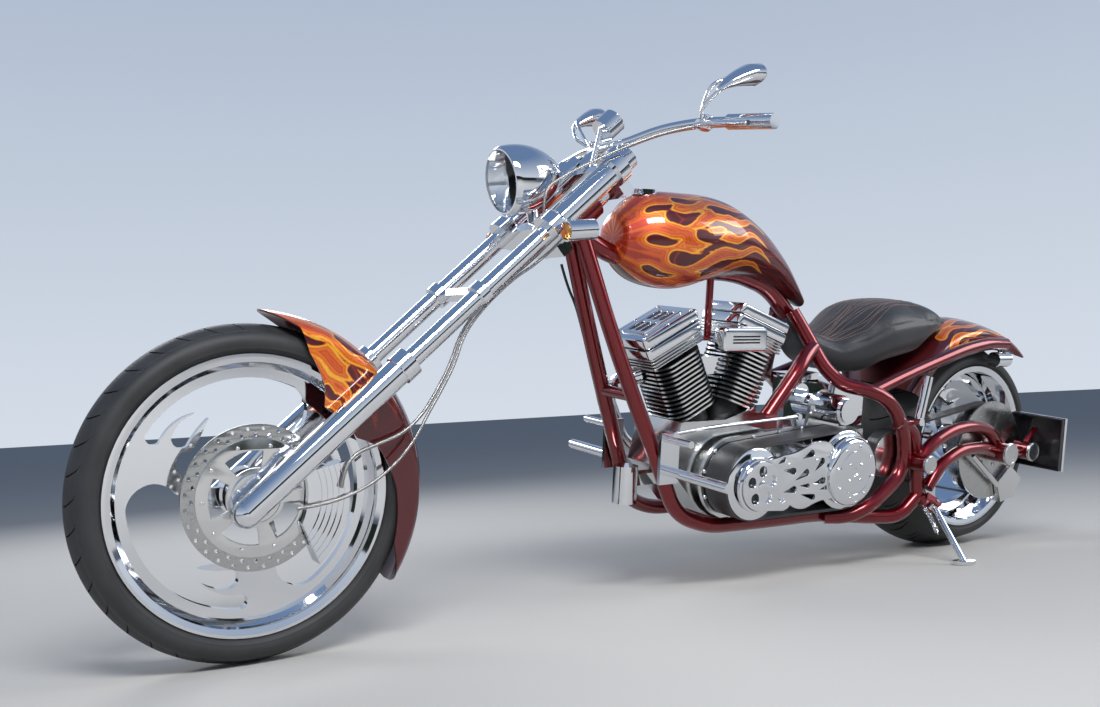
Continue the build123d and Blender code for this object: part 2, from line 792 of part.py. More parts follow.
with BuildPart() as top_mount:
    with Locations((985, 0, 662)):
        Box(150, 40, 10)
    bar([(985, 0, 660), (985, 0, 830)], 10)
    for other in (cylinders, rocker_boxes, coil_cover, frame_backbone):
        add(other.part, mode=Mode.SUBTRACT)
keep(top_mount, "top_mount", "root")

# Primary drive


def pulley_loop(one, radius_one, two, radius_two, y, width, mode=Mode.ADD):
    """Fills the outline of a belt round two pulleys."""
    with BuildSketch(side_plane(one, y)) as loop:
        offset_two = (one[0] - two[0], two[1] - one[1])
        Circle(radius_one)
        with Locations(offset_two):
            Circle(radius_two)
        make_hull()
    extrude(loop.sketch, amount=width, mode=mode)


with BuildPart() as primary_plate:
    pulley_loop(crank, 108, clutch, 118, plate_y, plate_thickness)
    pulley_loop(clutch, 90, starter_at, 48, plate_y, plate_thickness)
    disc(crank, 84, case_half, plate_y)
    disc(clutch, 70, 90, plate_y)
keep(primary_plate, "primary_plate", "root")

with BuildPart() as primary_belt:
    pulley_loop(crank, front_belt_radius, clutch, rear_belt_radius, belt_in, belt_width)
    pulley_loop(crank, front_belt_radius - belt_thickness, clutch, rear_belt_radius - belt_thickness,
                belt_in, belt_width, Mode.SUBTRACT)
keep(primary_belt, "primary_belt", "root")

with BuildPart() as primary_pulleys:
    disc(crank, front_belt_radius - belt_thickness - fit_gap, plate_y + plate_thickness, 202)
    disc(crank, 64, 202, 228)
    disc(clutch, rear_belt_radius - belt_thickness - fit_gap, plate_y + plate_thickness, 202)
    disc(clutch, 92, 202, 236)
keep(primary_pulleys, "primary_pulleys", "root")

with BuildPart() as transmission:
    with Locations((575, -10, 318)):
        Box(270, 200, 170)
    with Locations((640, 0, 215.2)):
        Box(60, 120, 35.8)
    disc(output, 26, 90, final_in)
    disc(output, output_radius - final_thickness, final_in - 4, final_in + final_width)
keep(transmission, "transmission", "root")

with BuildPart() as starter:
    disc(starter_at, 40, plate_y + plate_thickness, 200)
    disc(starter_at, 34, 200, 212)
    disc(starter_at, 30, 24, plate_y)
keep(starter, "starter", "root")

with BuildPart() as final_belt:
    pulley_loop(output, output_radius, (0, rear_tyre_radius), final_radius + run_gap + final_thickness, final_in, final_width)
    pulley_loop(output, output_radius - final_thickness + fit_gap, (0, rear_tyre_radius), final_radius + run_gap,
                final_in, final_width, Mode.SUBTRACT)
keep(final_belt, "final_belt", "root")

# Cover of the primary drive

with BuildPart() as primary_cover:
    pulley_loop(crank, 60, clutch, 70, cover_y, cover_thickness)
    with BuildSketch(side_plane(crank, cover_y)):
        with Locations((120, 30), (220, 34), (120, -22), (220, -28)):
            Ellipse(38, 13)
    extrude(amount=cover_thickness, mode=Mode.SUBTRACT)
    for x, z in ((crank[0] - 90, crank[1] + 50), (crank[0] - 90, crank[1] - 50), (clutch[0] + 135, clutch[1] + 40)):
        disc((x, 0, z), 7, plate_y + plate_thickness, cover_y)
    disc(crank, 64 + fit_gap, cover_y - 1, cover_y + 20, Mode.SUBTRACT)
    disc(clutch, 92 + fit_gap, cover_y - 1, cover_y + 20, Mode.SUBTRACT)
keep(primary_cover, "primary_cover", "root")

# Carburettor, air cleaner and pipes on the right

with BuildPart() as air_cleaner:
    disc((994, 0, 592), 27, -150, -10)
    with Locations((972, 0, 592)):
        Box(120, 60, 46)
    disc((985, 0, 592), 74, -200, -150)
    add(cylinders.part, mode=Mode.SUBTRACT)
    add(rocker_boxes.part, mode=Mode.SUBTRACT)
keep(air_cleaner, "air_cleaner", "root")

pipe_radius = 23
front_pipe = [(1180, -28, 566), (1225, -60, 548), (1212, -140, 500), (1130, -205, 430), (1070, -242, 350), (950, -260, 286),
              (700, -264, 250), (470, -264, 232)]
rear_pipe = [(824, -60, 603), (822, -135, 590), (798, -205, 530), (735, -246, 440), (620, -263, 352), (450, -264, 322)]

with BuildPart() as exhaust_pipes:
    bar(front_pipe, pipe_radius)
    bar(rear_pipe, pipe_radius)
    add(cylinders.part, mode=Mode.SUBTRACT)
    add(rocker_boxes.part, mode=Mode.SUBTRACT)
keep(exhaust_pipes, "exhaust_pipes", "root")

# Oil

with BuildPart() as oil_tank:
    with Locations((515, 0, 474)):
        Box(150, 164, 122)
    with Locations((640, 0, 548)):
        Box(130, 60, 30)
    with Locations((712, 40, 528)):
        Box(50, 60, 60)
    disc((712, 0, 516), 28, 70, 96)
    with Locations((515, 0, 408)):
        Box(90, 110, 10)
keep(oil_tank, "oil_tank", "root")

with BuildPart() as oil_filter:
    with BuildSketch(Plane.XY.offset(240)):
        with Locations((1238, 0)):
            Circle(32)
    extrude(amount=96)
    with Locations((1175, 0, 300)):
        Box(110, 40, 30)
    add(crankcase.part, mode=Mode.SUBTRACT)
keep(oil_filter, "oil_filter", "root")

# Feet

peg_point = (1180, 0, 335)
toe_point = (1212, 0, 424)

with BuildPart() as foot_controls:
    with Locations((1195, 114, 372)):
        Box(60, 10, 130)
    disc(peg_point, 13, 119, 318)
    disc(toe_point, 9, 119, 215)
    both_sides()
    bar([(1205, 144, 440), (1080, 144, 450), (772, 144, 462)], 5)
    disc((1205, 0, 436), 9, 112, 150)
    disc((772, 0, 462), 8, 136, 152)
    bar([(772, 138, 462), (738, 94, 446), (700, 80, 396)], 7)
    add(frame_cradle.part, mode=Mode.SUBTRACT)
    add(transmission.part, mode=Mode.SUBTRACT)
keep(foot_controls, "foot_controls", "root")

with BuildPart() as passenger_pegs:
    disc((402, 0, 446), 11, 214, 262)
    bar([(398, 249, 452), (371, 249, 572)], 13)
    add(frame_rear.part, mode=Mode.SUBTRACT)
    both_sides()
keep(passenger_pegs, "passenger_pegs", "root")

# Tail

with BuildPart() as rear_caliper:
    with BuildSketch(side_plane(rear_axle, 196)):
        Polygon(polar(105, -30), polar(178, -32), polar(190, -52), polar(170, -72), polar(105, -74), align=None)
    extrude(amount=32)
    disc(rear_axle, rotor_radius + 4, 203, 213, Mode.SUBTRACT)
    bar([(-30, 226, axle_high - 107), (120, 236, axle_high - 3)], 8)
    add(swingarm.part, mode=Mode.SUBTRACT)
keep(rear_caliper, "rear_caliper", "root")

with BuildPart() as rear_rotor:
    disc(rear_axle, rotor_radius, 205.5, 210.5)
    disc(rear_axle, 60, final_in + final_width + fit_gap, 210.5)
    disc(rear_axle, rear_axle_radius + run_gap, 150, 220, Mode.SUBTRACT)
keep(rear_rotor, "rear_rotor", "rear_wheel")

with BuildPart() as plate_holder:
    bar([(-20, 255, axle_high), (-114, 255, axle_high)], 14)
    disc((-114, 0, axle_high), 27, 225, cap_y)
    with Locations((-164, 262, axle_high + 27)):
        Box(25, 168, 158)
    bar([(-114, 262, axle_high + 12), (-150, 262, axle_high + 37)], 12)
    add(swingarm.part, mode=Mode.SUBTRACT)
keep(plate_holder, "plate_holder", "root")

with BuildPart() as rear_signals:
    bar([(-20, 186, 606), (-84, 186, 606)], 23)
    bar([(-52, 186, 622), (-52, 184, 640)], 7)
    both_sides()
    add(frame_rear.part, mode=Mode.SUBTRACT)
keep(rear_signals, "rear_signals", "root")

# Side stand

stand_foot = (329, 381, ground_height(329, 381))
foot_thickness = 6
foot_radius = 30

with BuildPart() as side_stand:
    bar([stand_pivot, tuple(Vector(*stand_foot) + ground_up * foot_thickness)], stand_eye / 2 - 1)
    with BuildSketch(STAND_HINGE.offset(-stand_eye / 2)):
        Circle(14)
    extrude(amount=stand_eye)
    with BuildSketch(STAND_HINGE.offset(-22)):
        Circle(stand_pin)
    extrude(amount=44)
    with BuildSketch(Plane(origin=stand_foot, z_dir=ground_up)):
        Circle(foot_radius)
    extrude(amount=foot_thickness + 4)
    with BuildSketch(Plane(origin=stand_foot, z_dir=ground_up)):
        Circle(foot_radius + 5)
    extrude(amount=-30, mode=Mode.SUBTRACT)
keep(side_stand, "side_stand", "side_stand")

# Parking

for piece, node, body in pieces:
    placed = piece.part
    if body in ("steering", "front_wheel"):
        placed = placed.rotate(STEERING, steer_turn)
    piece.part = placed.rotate(Axis.X, -park_lean).rotate(Axis.Y, park_pitch)

boxes = [piece.part.bounding_box() for piece, node, body in pieces]
low_x, high_x = min(box.min.X for box in boxes), max(box.max.X for box in boxes)
low_y, high_y = min(box.min.Y for box in boxes), max(box.max.Y for box in boxes)
low_z, high_z = min(box.min.Z for box in boxes), max(box.max.Z for box in boxes)
to_origin = Location((-(low_x + high_x) / 2, -(low_y + high_y) / 2, -low_z))
print("size", round(high_x - low_x, 1), round(high_y - low_y, 1), round(high_z - low_z, 1), "ground at", round(rear_low, 3), round(low_z, 3))

for piece, node, body in pieces:
    piece.part = piece.part.moved(to_origin)
    piece.part.label = node
    export_step(piece.part, f"parts/{node}.step")
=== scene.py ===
# %% [markdown]
# # A parked chopper motorcycle
# The CAD model already holds every piece that carries load, at its real size and place. Blender adds what
# makes it look real: rubber with a tread, candy paint with flames, mirror metal, a stitched seat, bolts
# and hoses. Everything is in metres, in the same frame as the CAD, so a piece goes where the CAD says.

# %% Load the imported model
import json
import math

import bmesh
import bpy
import numpy as np
from mathutils import Matrix, Vector
from mathutils.bvhtree import BVHTree


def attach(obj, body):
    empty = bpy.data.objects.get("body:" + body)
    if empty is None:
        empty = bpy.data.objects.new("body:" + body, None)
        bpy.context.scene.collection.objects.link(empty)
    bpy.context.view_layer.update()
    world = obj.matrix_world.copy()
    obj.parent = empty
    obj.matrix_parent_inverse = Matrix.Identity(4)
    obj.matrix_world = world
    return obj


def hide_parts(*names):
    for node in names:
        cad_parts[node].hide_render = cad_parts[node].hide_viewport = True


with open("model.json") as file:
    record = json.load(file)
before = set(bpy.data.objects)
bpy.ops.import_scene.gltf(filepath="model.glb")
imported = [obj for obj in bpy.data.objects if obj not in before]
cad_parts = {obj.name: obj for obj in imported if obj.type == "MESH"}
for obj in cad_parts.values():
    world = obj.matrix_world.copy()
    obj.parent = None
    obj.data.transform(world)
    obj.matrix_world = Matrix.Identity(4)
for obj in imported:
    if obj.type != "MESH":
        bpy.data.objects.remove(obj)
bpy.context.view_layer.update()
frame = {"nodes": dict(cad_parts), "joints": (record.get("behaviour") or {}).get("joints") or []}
nodes = frame["nodes"]
print("CAD nodes:", len(nodes))

# %% [markdown]
# The motorcycle is drawn upright in millimetres from the point where the rear tyre meets the ground, with
# +X forward and +Y to the rider's left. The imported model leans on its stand, so one turn and one shift
# bring an upright point to its packed place. The front is also turned a little about the steering axis.

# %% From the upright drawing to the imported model
wheelbase, front_radius, rear_radius = 2.233, 0.350, 0.333
rake, trail_offset = math.radians(49.5), 0.060
lean, pitch, steer_turn = math.radians(10), math.radians(-0.0125), math.radians(-5.6)
joints = {joint["name"]: joint for joint in frame["joints"]}
rear_axle_place = Vector(joints["rear_wheel_spin"]["pos_m"])
LEANED = (Matrix.Translation(rear_axle_place) @ Matrix.Rotation(pitch, 4, "Y") @ Matrix.Rotation(-lean, 4,
                                                                                                 "X")
          @ Matrix.Translation((0, 0, -rear_radius)))
tube_way = Vector((-math.sin(rake), 0, math.cos(rake)))
tube_front = Vector((math.cos(rake), 0, math.sin(rake)))
steer_foot = Vector((wheelbase, 0, front_radius)) - trail_offset * tube_front
STEERED = (LEANED @ Matrix.Translation(steer_foot) @ Matrix.Rotation(steer_turn, 4, tube_way)
           @ Matrix.Translation(-steer_foot))
FORK = Matrix.Translation((wheelbase, 0, front_radius)) @ Matrix((tube_front, (0, 1, 0),
                                                                  tube_way)).transposed().to_4x4()
FRONT_WHEEL = STEERED @ Matrix.Translation((wheelbase, 0, front_radius))
REAR_WHEEL = LEANED @ Matrix.Translation((0, 0, rear_radius))


def mm(x, y, z):
    """An upright point in millimetres, as a vector in metres."""
    return Vector((x, y, z)) / 1000


print("rear axle in the packed model", [round(v, 4) for v in LEANED @ Vector((0, 0, rear_radius))])

# %% [markdown]
# ## Camera
# The camera stands where the photographer stood, low on the rider's left and ahead of the motorcycle. It
# was fitted to the two tyre circles, the fork tubes and the bar. Its place is kept as a step from the
# rear axle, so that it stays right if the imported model's origin moves.

# %% Camera
camera_data = bpy.data.cameras.new("camera")
camera_data.sensor_width = 36
camera_data.lens = 36.678
camera = bpy.data.objects.new("camera", camera_data)
bpy.context.scene.collection.objects.link(camera)
camera_right = Vector((-0.823968, 0.564180, -0.052707))
camera_up = Vector((-0.015268, 0.070878, 0.997368))
camera_back = Vector((0.566431, 0.822604, -0.049788))
camera.matrix_world = (Matrix.Translation(rear_axle_place + Vector((3.021285, 2.274363, 0.156327)))
                       @ Matrix((camera_right, camera_up, camera_back)).transposed().to_4x4())
bpy.context.scene.camera = camera
print("camera at", [round(v, 3) for v in camera.matrix_world.translation])

# %% [markdown]
# ## Materials: the tools they share
# Each finish starts from what the real surface is. A plated mirror is never polished evenly, so one group
# gives every hard surface its soft patches. A second group tells how far a point of the surface lies
# inside a painted flame, as a colour that runs from the dark ground over a glowing rim to the deep orange
# middle.


# %% Node groups
def new_material(name):
    """An empty material with its Principled BSDF, its nodes and its links."""
    material = bpy.data.materials.new(name)
    material.use_nodes = True
    tree = material.node_tree
    return material, tree.nodes["Principled BSDF"], tree.nodes, tree.links


def new_group(name, inputs, outputs):
    """A shader node group. Inputs are (name, socket type, default), and outputs are (name, socket type)."""
    group = bpy.data.node_groups.new(name, "ShaderNodeTree")
    for label, kind, default in inputs:
        group.interface.new_socket(label, in_out="INPUT", socket_type=kind).default_value = default
    for label, kind in outputs:
        group.interface.new_socket(label, in_out="OUTPUT", socket_type=kind)
    return group, group.nodes.new("NodeGroupInput"), group.nodes.new("NodeGroupOutput")


def use_group(tree, group, vector, **values):
    """Places a group in a material, fed by the material's own coordinates."""
    node = tree.nodes.new("ShaderNodeGroup")
    node.node_tree = group
    for label, value in values.items():
        node.inputs[label.replace("_", " ")].default_value = value
    tree.links.new(vector, node.inputs["Vector"])
    return node


def object_place(tree):
    return tree.nodes.new("ShaderNodeTexCoord").outputs["Object"]


def drawing_place(tree, matrix):
    """The point of the surface in the drawing's own frame, in metres."""
    back = matrix.inverted()
    turned = tree.nodes.new("ShaderNodeMapping")
    turned.inputs["Rotation"].default_value = back.to_euler()
    turned.inputs["Location"].default_value = back.translation
    tree.links.new(object_place(tree), turned.inputs["Vector"])
    return turned.outputs["Vector"]


def ramp(tree, stops):
    node = tree.nodes.new("ShaderNodeValToRGB")
    node.color_ramp.elements[0].position, node.color_ramp.elements[0].color = stops[0]
    node.color_ramp.elements[1].position, node.color_ramp.elements[1].color = stops[-1]
    for position, color in stops[1:-1]:
        node.color_ramp.elements.new(position).color = color
    return node


def add_node(tree, kind, inputs, **settings):
    """A shader node. An input given as a socket is linked, and any other input is a plain value."""
    node = tree.nodes.new("ShaderNode" + kind)
    for name, value in settings.items():
        setattr(node, name, value)
    for name, value in inputs.items():
        if isinstance(value, bpy.types.NodeSocket):
            tree.links.new(value, node.inputs[name])
        else:
            node.inputs[name].default_value = value
    return node


# The polish of metal or plastic: a roughness that wanders between two values, and very fine waves
polish, group_in, group_out = new_group(
    "polish",
    [("Vector", "NodeSocketVector", (0, 0, 0)), ("Patch Scale", "NodeSocketFloat", 9.0),
     ("Smooth", "NodeSocketFloat", 0.04), ("Dull", "NodeSocketFloat", 0.12),
     ("Wave Scale", "NodeSocketFloat", 60.0), ("Wave Depth", "NodeSocketFloat", 0.02)],
    [("Roughness", "NodeSocketFloat"), ("Normal", "NodeSocketVector")])
given = group_in.outputs
patches = add_node(polish, "TexNoise", {"Vector": given["Vector"], "Scale": given["Patch Scale"],
                                        "Detail": 4})
spread = add_node(polish, "MapRange", {"Value": patches.outputs["Fac"], "From Min": 0.35, "From Max": 0.7,
                                       "To Min": given["Smooth"], "To Max": given["Dull"]})
waves = add_node(polish, "TexNoise", {"Vector": given["Vector"], "Scale": given["Wave Scale"], "Detail": 2})
wave_bump = add_node(polish, "Bump", {"Height": waves.outputs["Fac"], "Strength": given["Wave Depth"],
                                      "Distance": 0.001})
polish.links.new(spread.outputs["Result"], group_out.inputs["Roughness"])
polish.links.new(wave_bump.outputs["Normal"], group_out.inputs["Normal"])

# Airbrushed flames: the piece's own attributes give the depth inside a flame in millimetres, and a fine
# wandering keeps the brush from being even
flame_low, flame_high = -10.0, 22.0
flame_art, group_in, group_out = new_group(
    "flame_art",
    [("Vector", "NodeSocketVector", (0, 0, 0)), ("Depth", "NodeSocketFloat", 0.0),
     ("Shadow", "NodeSocketFloat", 0.0)],
    [("Color", "NodeSocketColor")])
given = group_in.outputs
wander = add_node(flame_art, "TexNoise", {"Vector": given["Vector"], "Scale": 26.0, "Detail": 3.0})
wander_size = add_node(flame_art, "MapRange", {"Value": wander.outputs["Fac"], "To Min": -4.5,
                                               "To Max": 4.5})
uneven = add_node(flame_art, "Math", {0: given["Depth"], 1: wander_size.outputs["Result"]}, operation="ADD")
flame_place = add_node(flame_art, "MapRange", {"Value": uneven.outputs[0], "From Min": flame_low,
                                               "From Max": flame_high})
shadow_place = add_node(flame_art, "MapRange", {"Value": given["Shadow"], "From Min": -4.0,
                                                "From Max": 8.0})
over_ground = add_node(flame_art, "MapRange", {"Value": uneven.outputs[0], "From Min": -3.0,
                                               "From Max": 0.6})


def flame_stops(stops):
    """Ramp stops that are given as millimetres inside the flame."""
    return [((depth - flame_low) / (flame_high - flame_low), (*color, 1)) for depth, color in stops]


flame_ramp = ramp(flame_art, flame_stops([
    (-10.0, (0.0, 0.0, 0.0)),
    (-3.0, (0.030, 0.000, 0.0)),
    (-0.9, (0.300, 0.020, 0.001)),
    (0.4, (0.860, 0.230, 0.006)),
    (2.2, (1.000, 0.520, 0.035)),
    (4.0, (0.900, 0.250, 0.010)),
    (6.5, (0.720, 0.105, 0.006)),
    (9.0, (0.860, 0.210, 0.010)),
    (12.0, (0.620, 0.070, 0.006)),
    (16.0, (0.720, 0.110, 0.008)),
    (22.0, (0.420, 0.030, 0.006)),
]))
shadow_ramp = ramp(flame_art, [
    (0.0, (0.085, 0.0012, 0.0040, 1)),
    (0.35, (0.160, 0.0060, 0.0050, 1)),
    (0.50, (0.330, 0.0300, 0.0060, 1)),
    (0.65, (0.170, 0.0080, 0.0060, 1)),
    (1.0, (0.080, 0.0015, 0.0060, 1)),
])
flame_art.links.new(flame_place.outputs["Result"], flame_ramp.inputs["Fac"])
flame_art.links.new(shadow_place.outputs["Result"], shadow_ramp.inputs["Fac"])
painted = flame_art.nodes.new("ShaderNodeMix")
painted.data_type = "RGBA"
for source, socket in ((over_ground.outputs["Result"], "Factor"), (shadow_ramp.outputs["Color"], "A"),
                       (flame_ramp.outputs["Color"], "B")):
    flame_art.links.new(source, painted.inputs[socket])
flame_art.links.new(painted.outputs["Result"], group_out.inputs["Color"])
print("groups:", [group.name for group in bpy.data.node_groups])

# %% [markdown]
# ## Metals
# Chrome, polished alloy and brushed steel differ in their colour and in how far a reflection is blurred.
# The cylinders are dark paint in the gaps and bright on the machined edges of the fins, which is what
# makes an air-cooled engine look crisp. The distance from the cylinder's own middle tells the two apart.


# %% Metals
def metal(name, color, smooth, dull, patch=9.0, wave_scale=60.0, wave_depth=0.004):
    material, bsdf, _, links = new_material(name)
    bsdf.inputs["Metallic"].default_value = 1
    bsdf.inputs["Base Color"].default_value = (*color, 1)
    group = use_group(material.node_tree, polish, object_place(material.node_tree), Patch_Scale=patch,
                      Smooth=smooth, Dull=dull, Wave_Scale=wave_scale, Wave_Depth=wave_depth)
    links.new(group.outputs["Roughness"], bsdf.inputs["Roughness"])
    links.new(group.outputs["Normal"], bsdf.inputs["Normal"])
    return material


chrome = metal("chrome", (0.80, 0.81, 0.83), 0.03, 0.08)
polished_alloy = metal("polished_alloy", (0.72, 0.72, 0.71), 0.12, 0.26, patch=20.0)
satin_alloy = metal("satin_alloy", (0.62, 0.62, 0.62), 0.24, 0.38, patch=30.0, wave_scale=400.0,
                    wave_depth=0.06)
machined_steel = metal("machined_steel", (0.50, 0.50, 0.49), 0.20, 0.34, patch=24.0)

crank_place = (0.975, 0.305)
cylinder_leans = (math.radians(26), math.radians(-19))
fin_metal, shader, _, fin_links = new_material("fin_metal")
fin_tree = fin_metal.node_tree
upright = drawing_place(fin_tree, LEANED)
offsets = []
for cylinder_lean in cylinder_leans:
    # how far the point lies from the plane through the cylinder's axis and the crank, towards the front
    centred = add_node(fin_tree, "VectorMath", {0: upright, 1: (crank_place[0], 0, crank_place[1])},
                       operation="SUBTRACT")
    across_way = add_node(fin_tree, "VectorMath", {
        0: centred.outputs[0], 1: (math.cos(cylinder_lean), 0, -math.sin(cylinder_lean))},
                          operation="DOT_PRODUCT")
    offsets.append(add_node(fin_tree, "Math", {0: across_way.outputs["Value"]},
                            operation="ABSOLUTE").outputs[0])
nearer = add_node(fin_tree, "Math", {0: offsets[0], 1: offsets[1]}, operation="MINIMUM")
split = add_node(fin_tree, "SeparateXYZ", {0: upright})
side = add_node(fin_tree, "Math", {0: split.outputs["Y"]}, operation="ABSOLUTE")
reach = add_node(fin_tree, "Math", {0: nearer.outputs[0], 1: side.outputs[0]}, operation="MAXIMUM")
edge_share = add_node(fin_tree, "MapRange", {"Value": reach.outputs[0], "From Min": 0.066,
                                             "From Max": 0.074})
fin_color = ramp(fin_tree, [(0.0, (0.035, 0.035, 0.037, 1)), (0.55, (0.10, 0.10, 0.10, 1)),
                            (1.0, (0.78, 0.78, 0.77, 1))])
fin_rough = add_node(fin_tree, "MapRange", {"Value": edge_share.outputs["Result"], "To Min": 0.5,
                                            "To Max": 0.2})
fin_links.new(edge_share.outputs["Result"], fin_color.inputs["Fac"])
fin_links.new(fin_color.outputs["Color"], shader.inputs["Base Color"])
fin_links.new(fin_rough.outputs["Result"], shader.inputs["Roughness"])
shader.inputs["Metallic"].default_value = 1
print("metals ready")

# %% [markdown]
# The braided hoses are woven steel wire under a clear sheath. Two sets of slanted waves cross each other,
# and where they meet the surface is high and bright.

# %% Braided steel
braided_steel, shader, _, braid_links = new_material("braided_steel")
braid_tree = braided_steel.node_tree
shader.inputs["Metallic"].default_value = 1
shader.inputs["Roughness"].default_value = 0.32
place = object_place(braid_tree)
bands = []
for turn in (0.8, -0.8):
    slant = add_node(braid_tree, "Mapping", {"Vector": place, "Rotation": (0, turn, 0)})
    bands.append(add_node(braid_tree, "TexWave", {"Vector": slant.outputs["Vector"],
                                                  "Scale": 210}).outputs["Fac"])
weave = add_node(braid_tree, "Math", {0: bands[0], 1: bands[1]}, operation="MULTIPLY")
wire_color = ramp(braid_tree, [(0.0, (0.20, 0.19, 0.18, 1)), (0.6, (0.62, 0.61, 0.59, 1))])
weave_bump = add_node(braid_tree, "Bump", {"Height": weave.outputs[0], "Strength": 0.35,
                                           "Distance": 0.0005})
braid_links.new(weave.outputs[0], wire_color.inputs["Fac"])
braid_links.new(wire_color.outputs["Color"], shader.inputs["Base Color"])
braid_links.new(weave_bump.outputs["Normal"], shader.inputs["Normal"])
print("braid ready")

# %% [markdown]
# ## Paint
# The paint is candy red: metal flake under tinted clear coat, so it is dark where it faces away and glows
# where it faces a lamp. A metallic base with a strong coat does that. The flames take their place from
# attributes that are worked out later on each painted panel.


# %% Paints
def candy(name, flames=False):
    """Red candy over flake, with flames where the panel has them."""
    material, bsdf, paint_nodes, links = new_material(name)
    tree = material.node_tree
    place = object_place(tree)
    bsdf.inputs["Metallic"].default_value = 0.45 if flames else 0.85
    bsdf.inputs["Coat Weight"].default_value = 1.0
    bsdf.inputs["Coat Roughness"].default_value = 0.02
    bsdf.inputs["Roughness"].default_value = 0.42 if flames else 0.30
    flake = paint_nodes.new("ShaderNodeTexVoronoi")
    flake.inputs["Scale"].default_value = 900
    links.new(place, flake.inputs["Vector"])
    sparkle = ramp(tree, [(0.0, (0.75, 0.75, 0.75, 1)), (1.0, (1.2, 1.2, 1.2, 1))])
    links.new(flake.outputs["Color"], sparkle.inputs["Fac"])
    base = paint_nodes.new("ShaderNodeMix")
    base.data_type, base.blend_type = "RGBA", "MULTIPLY"
    base.inputs["Factor"].default_value = 1.0
    links.new(sparkle.outputs["Color"], base.inputs["B"])
    if flames:
        art = use_group(tree, flame_art, place)
        for attribute, socket in (("lick_depth", "Depth"), ("far_lick_depth", "Shadow")):
            depth = paint_nodes.new("ShaderNodeAttribute")
            depth.attribute_name = attribute
            links.new(depth.outputs["Fac"], art.inputs[socket])
        links.new(art.outputs["Color"], base.inputs["A"])
    else:
        tone = paint_nodes.new("ShaderNodeTexNoise")
        tone.inputs["Scale"].default_value = 3.0
        links.new(place, tone.inputs["Vector"])
        shade = ramp(tree, [(0.3, (0.150, 0.0012, 0.0040, 1)), (0.7, (0.205, 0.0020, 0.0060, 1))])
        links.new(tone.outputs["Fac"], shade.inputs["Fac"])
        links.new(shade.outputs["Color"], base.inputs["A"])
    links.new(base.outputs["Result"], bsdf.inputs["Base Color"])
    return material


candy_red = candy("candy_red")
flame_paint = candy("flame_paint", flames=True)
print("paints ready")


# %% Rubber, leather, plastic and glass
def grained(name, color, roughness, scale, depth, sheen=0.0):
    """A dull moulded or grained surface with small unevenness in its colour."""
    material, bsdf, _, links = new_material(name)
    place = object_place(material.node_tree)
    tree = material.node_tree
    cells = add_node(tree, "TexVoronoi", {"Vector": place}, feature="SMOOTH_F1")
    cells.inputs["Scale"].default_value = scale
    grain_bump = add_node(tree, "Bump", {"Height": cells.outputs["Distance"], "Strength": depth,
                                         "Distance": 0.0006})
    blotch = add_node(tree, "TexNoise", {"Vector": place, "Scale": 12, "Detail": 5})
    dark, pale = [c * 0.75 for c in color], [min(1, c * 1.35) for c in color]
    tone = ramp(tree, [(0.3, (*dark, 1)), (0.75, (*pale, 1))])
    rough = add_node(tree, "MapRange", {"Value": blotch.outputs["Fac"], "To Min": roughness - 0.06,
                                        "To Max": roughness + 0.08})
    links.new(blotch.outputs["Fac"], tone.inputs["Fac"])
    links.new(grain_bump.outputs["Normal"], bsdf.inputs["Normal"])
    links.new(tone.outputs["Color"], bsdf.inputs["Base Color"])
    links.new(rough.outputs["Result"], bsdf.inputs["Roughness"])
    bsdf.inputs["Sheen Weight"].default_value = sheen
    return material


tyre_rubber = grained("tyre_rubber", (0.028, 0.028, 0.029), 0.58, 700, 0.25)
belt_rubber = grained("belt_rubber", (0.040, 0.041, 0.042), 0.36, 900, 0.15)
black_rubber = grained("black_rubber", (0.014, 0.014, 0.015), 0.38, 500, 0.1)
black_leather = grained("black_leather", (0.022, 0.023, 0.026), 0.42, 420, 0.5, sheen=0.1)
black_metal = grained("black_metal", (0.012, 0.012, 0.014), 0.18, 60, 0.02)
thread = grained("thread", (0.20, 0.105, 0.075), 0.5, 1500, 0.2, sheen=0.3)


def glass(name, color, roughness):
    material, bsdf, _, _ = new_material(name)
    bsdf.inputs["Transmission Weight"].default_value = 1.0
    bsdf.inputs["IOR"].default_value = 1.45
    bsdf.inputs["Roughness"].default_value = roughness
    bsdf.inputs["Base Color"].default_value = (*color, 1)
    return material


clear_lens = glass("clear_lens", (0.96, 0.98, 1.0), 0.02)
amber_lens = glass("amber_lens", (0.95, 0.42, 0.10), 0.12)
red_lens = glass("red_lens", (0.62, 0.02, 0.02), 0.12)
print("soft and clear finishes ready")

# %% [markdown]
# ## Hoses and cables
# A hose is a fixed length of something that bends evenly, held at its two ends, so each
# is one smooth curve along its real route. The braided brake hose and the speedometer's cable come down
# the left fork leg, one more cable runs from the left grip to the head, and the black clutch cable runs
# down beside the frame.


# %% Hoses and cables
def held_cord(name, body, drawing, points, radius, finish):
    """One smooth hose along a route of upright points, in metres."""
    curve = bpy.data.curves.new(name, "CURVE")
    curve.dimensions = "3D"
    curve.bevel_depth, curve.bevel_resolution = radius, 3
    curve.resolution_u = 14
    curve.use_fill_caps = True
    spline = curve.splines.new("NURBS")
    spline.points.add(len(points) - 1)
    for point, at in zip(spline.points, points):
        point.co = (*(drawing @ Vector(at)), 1)
    spline.order_u = 3
    spline.use_endpoint_u = True
    curve.materials.append(finish)
    obj = bpy.data.objects.new(name, curve)
    bpy.context.scene.collection.objects.link(obj)
    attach(obj, body)
    return obj


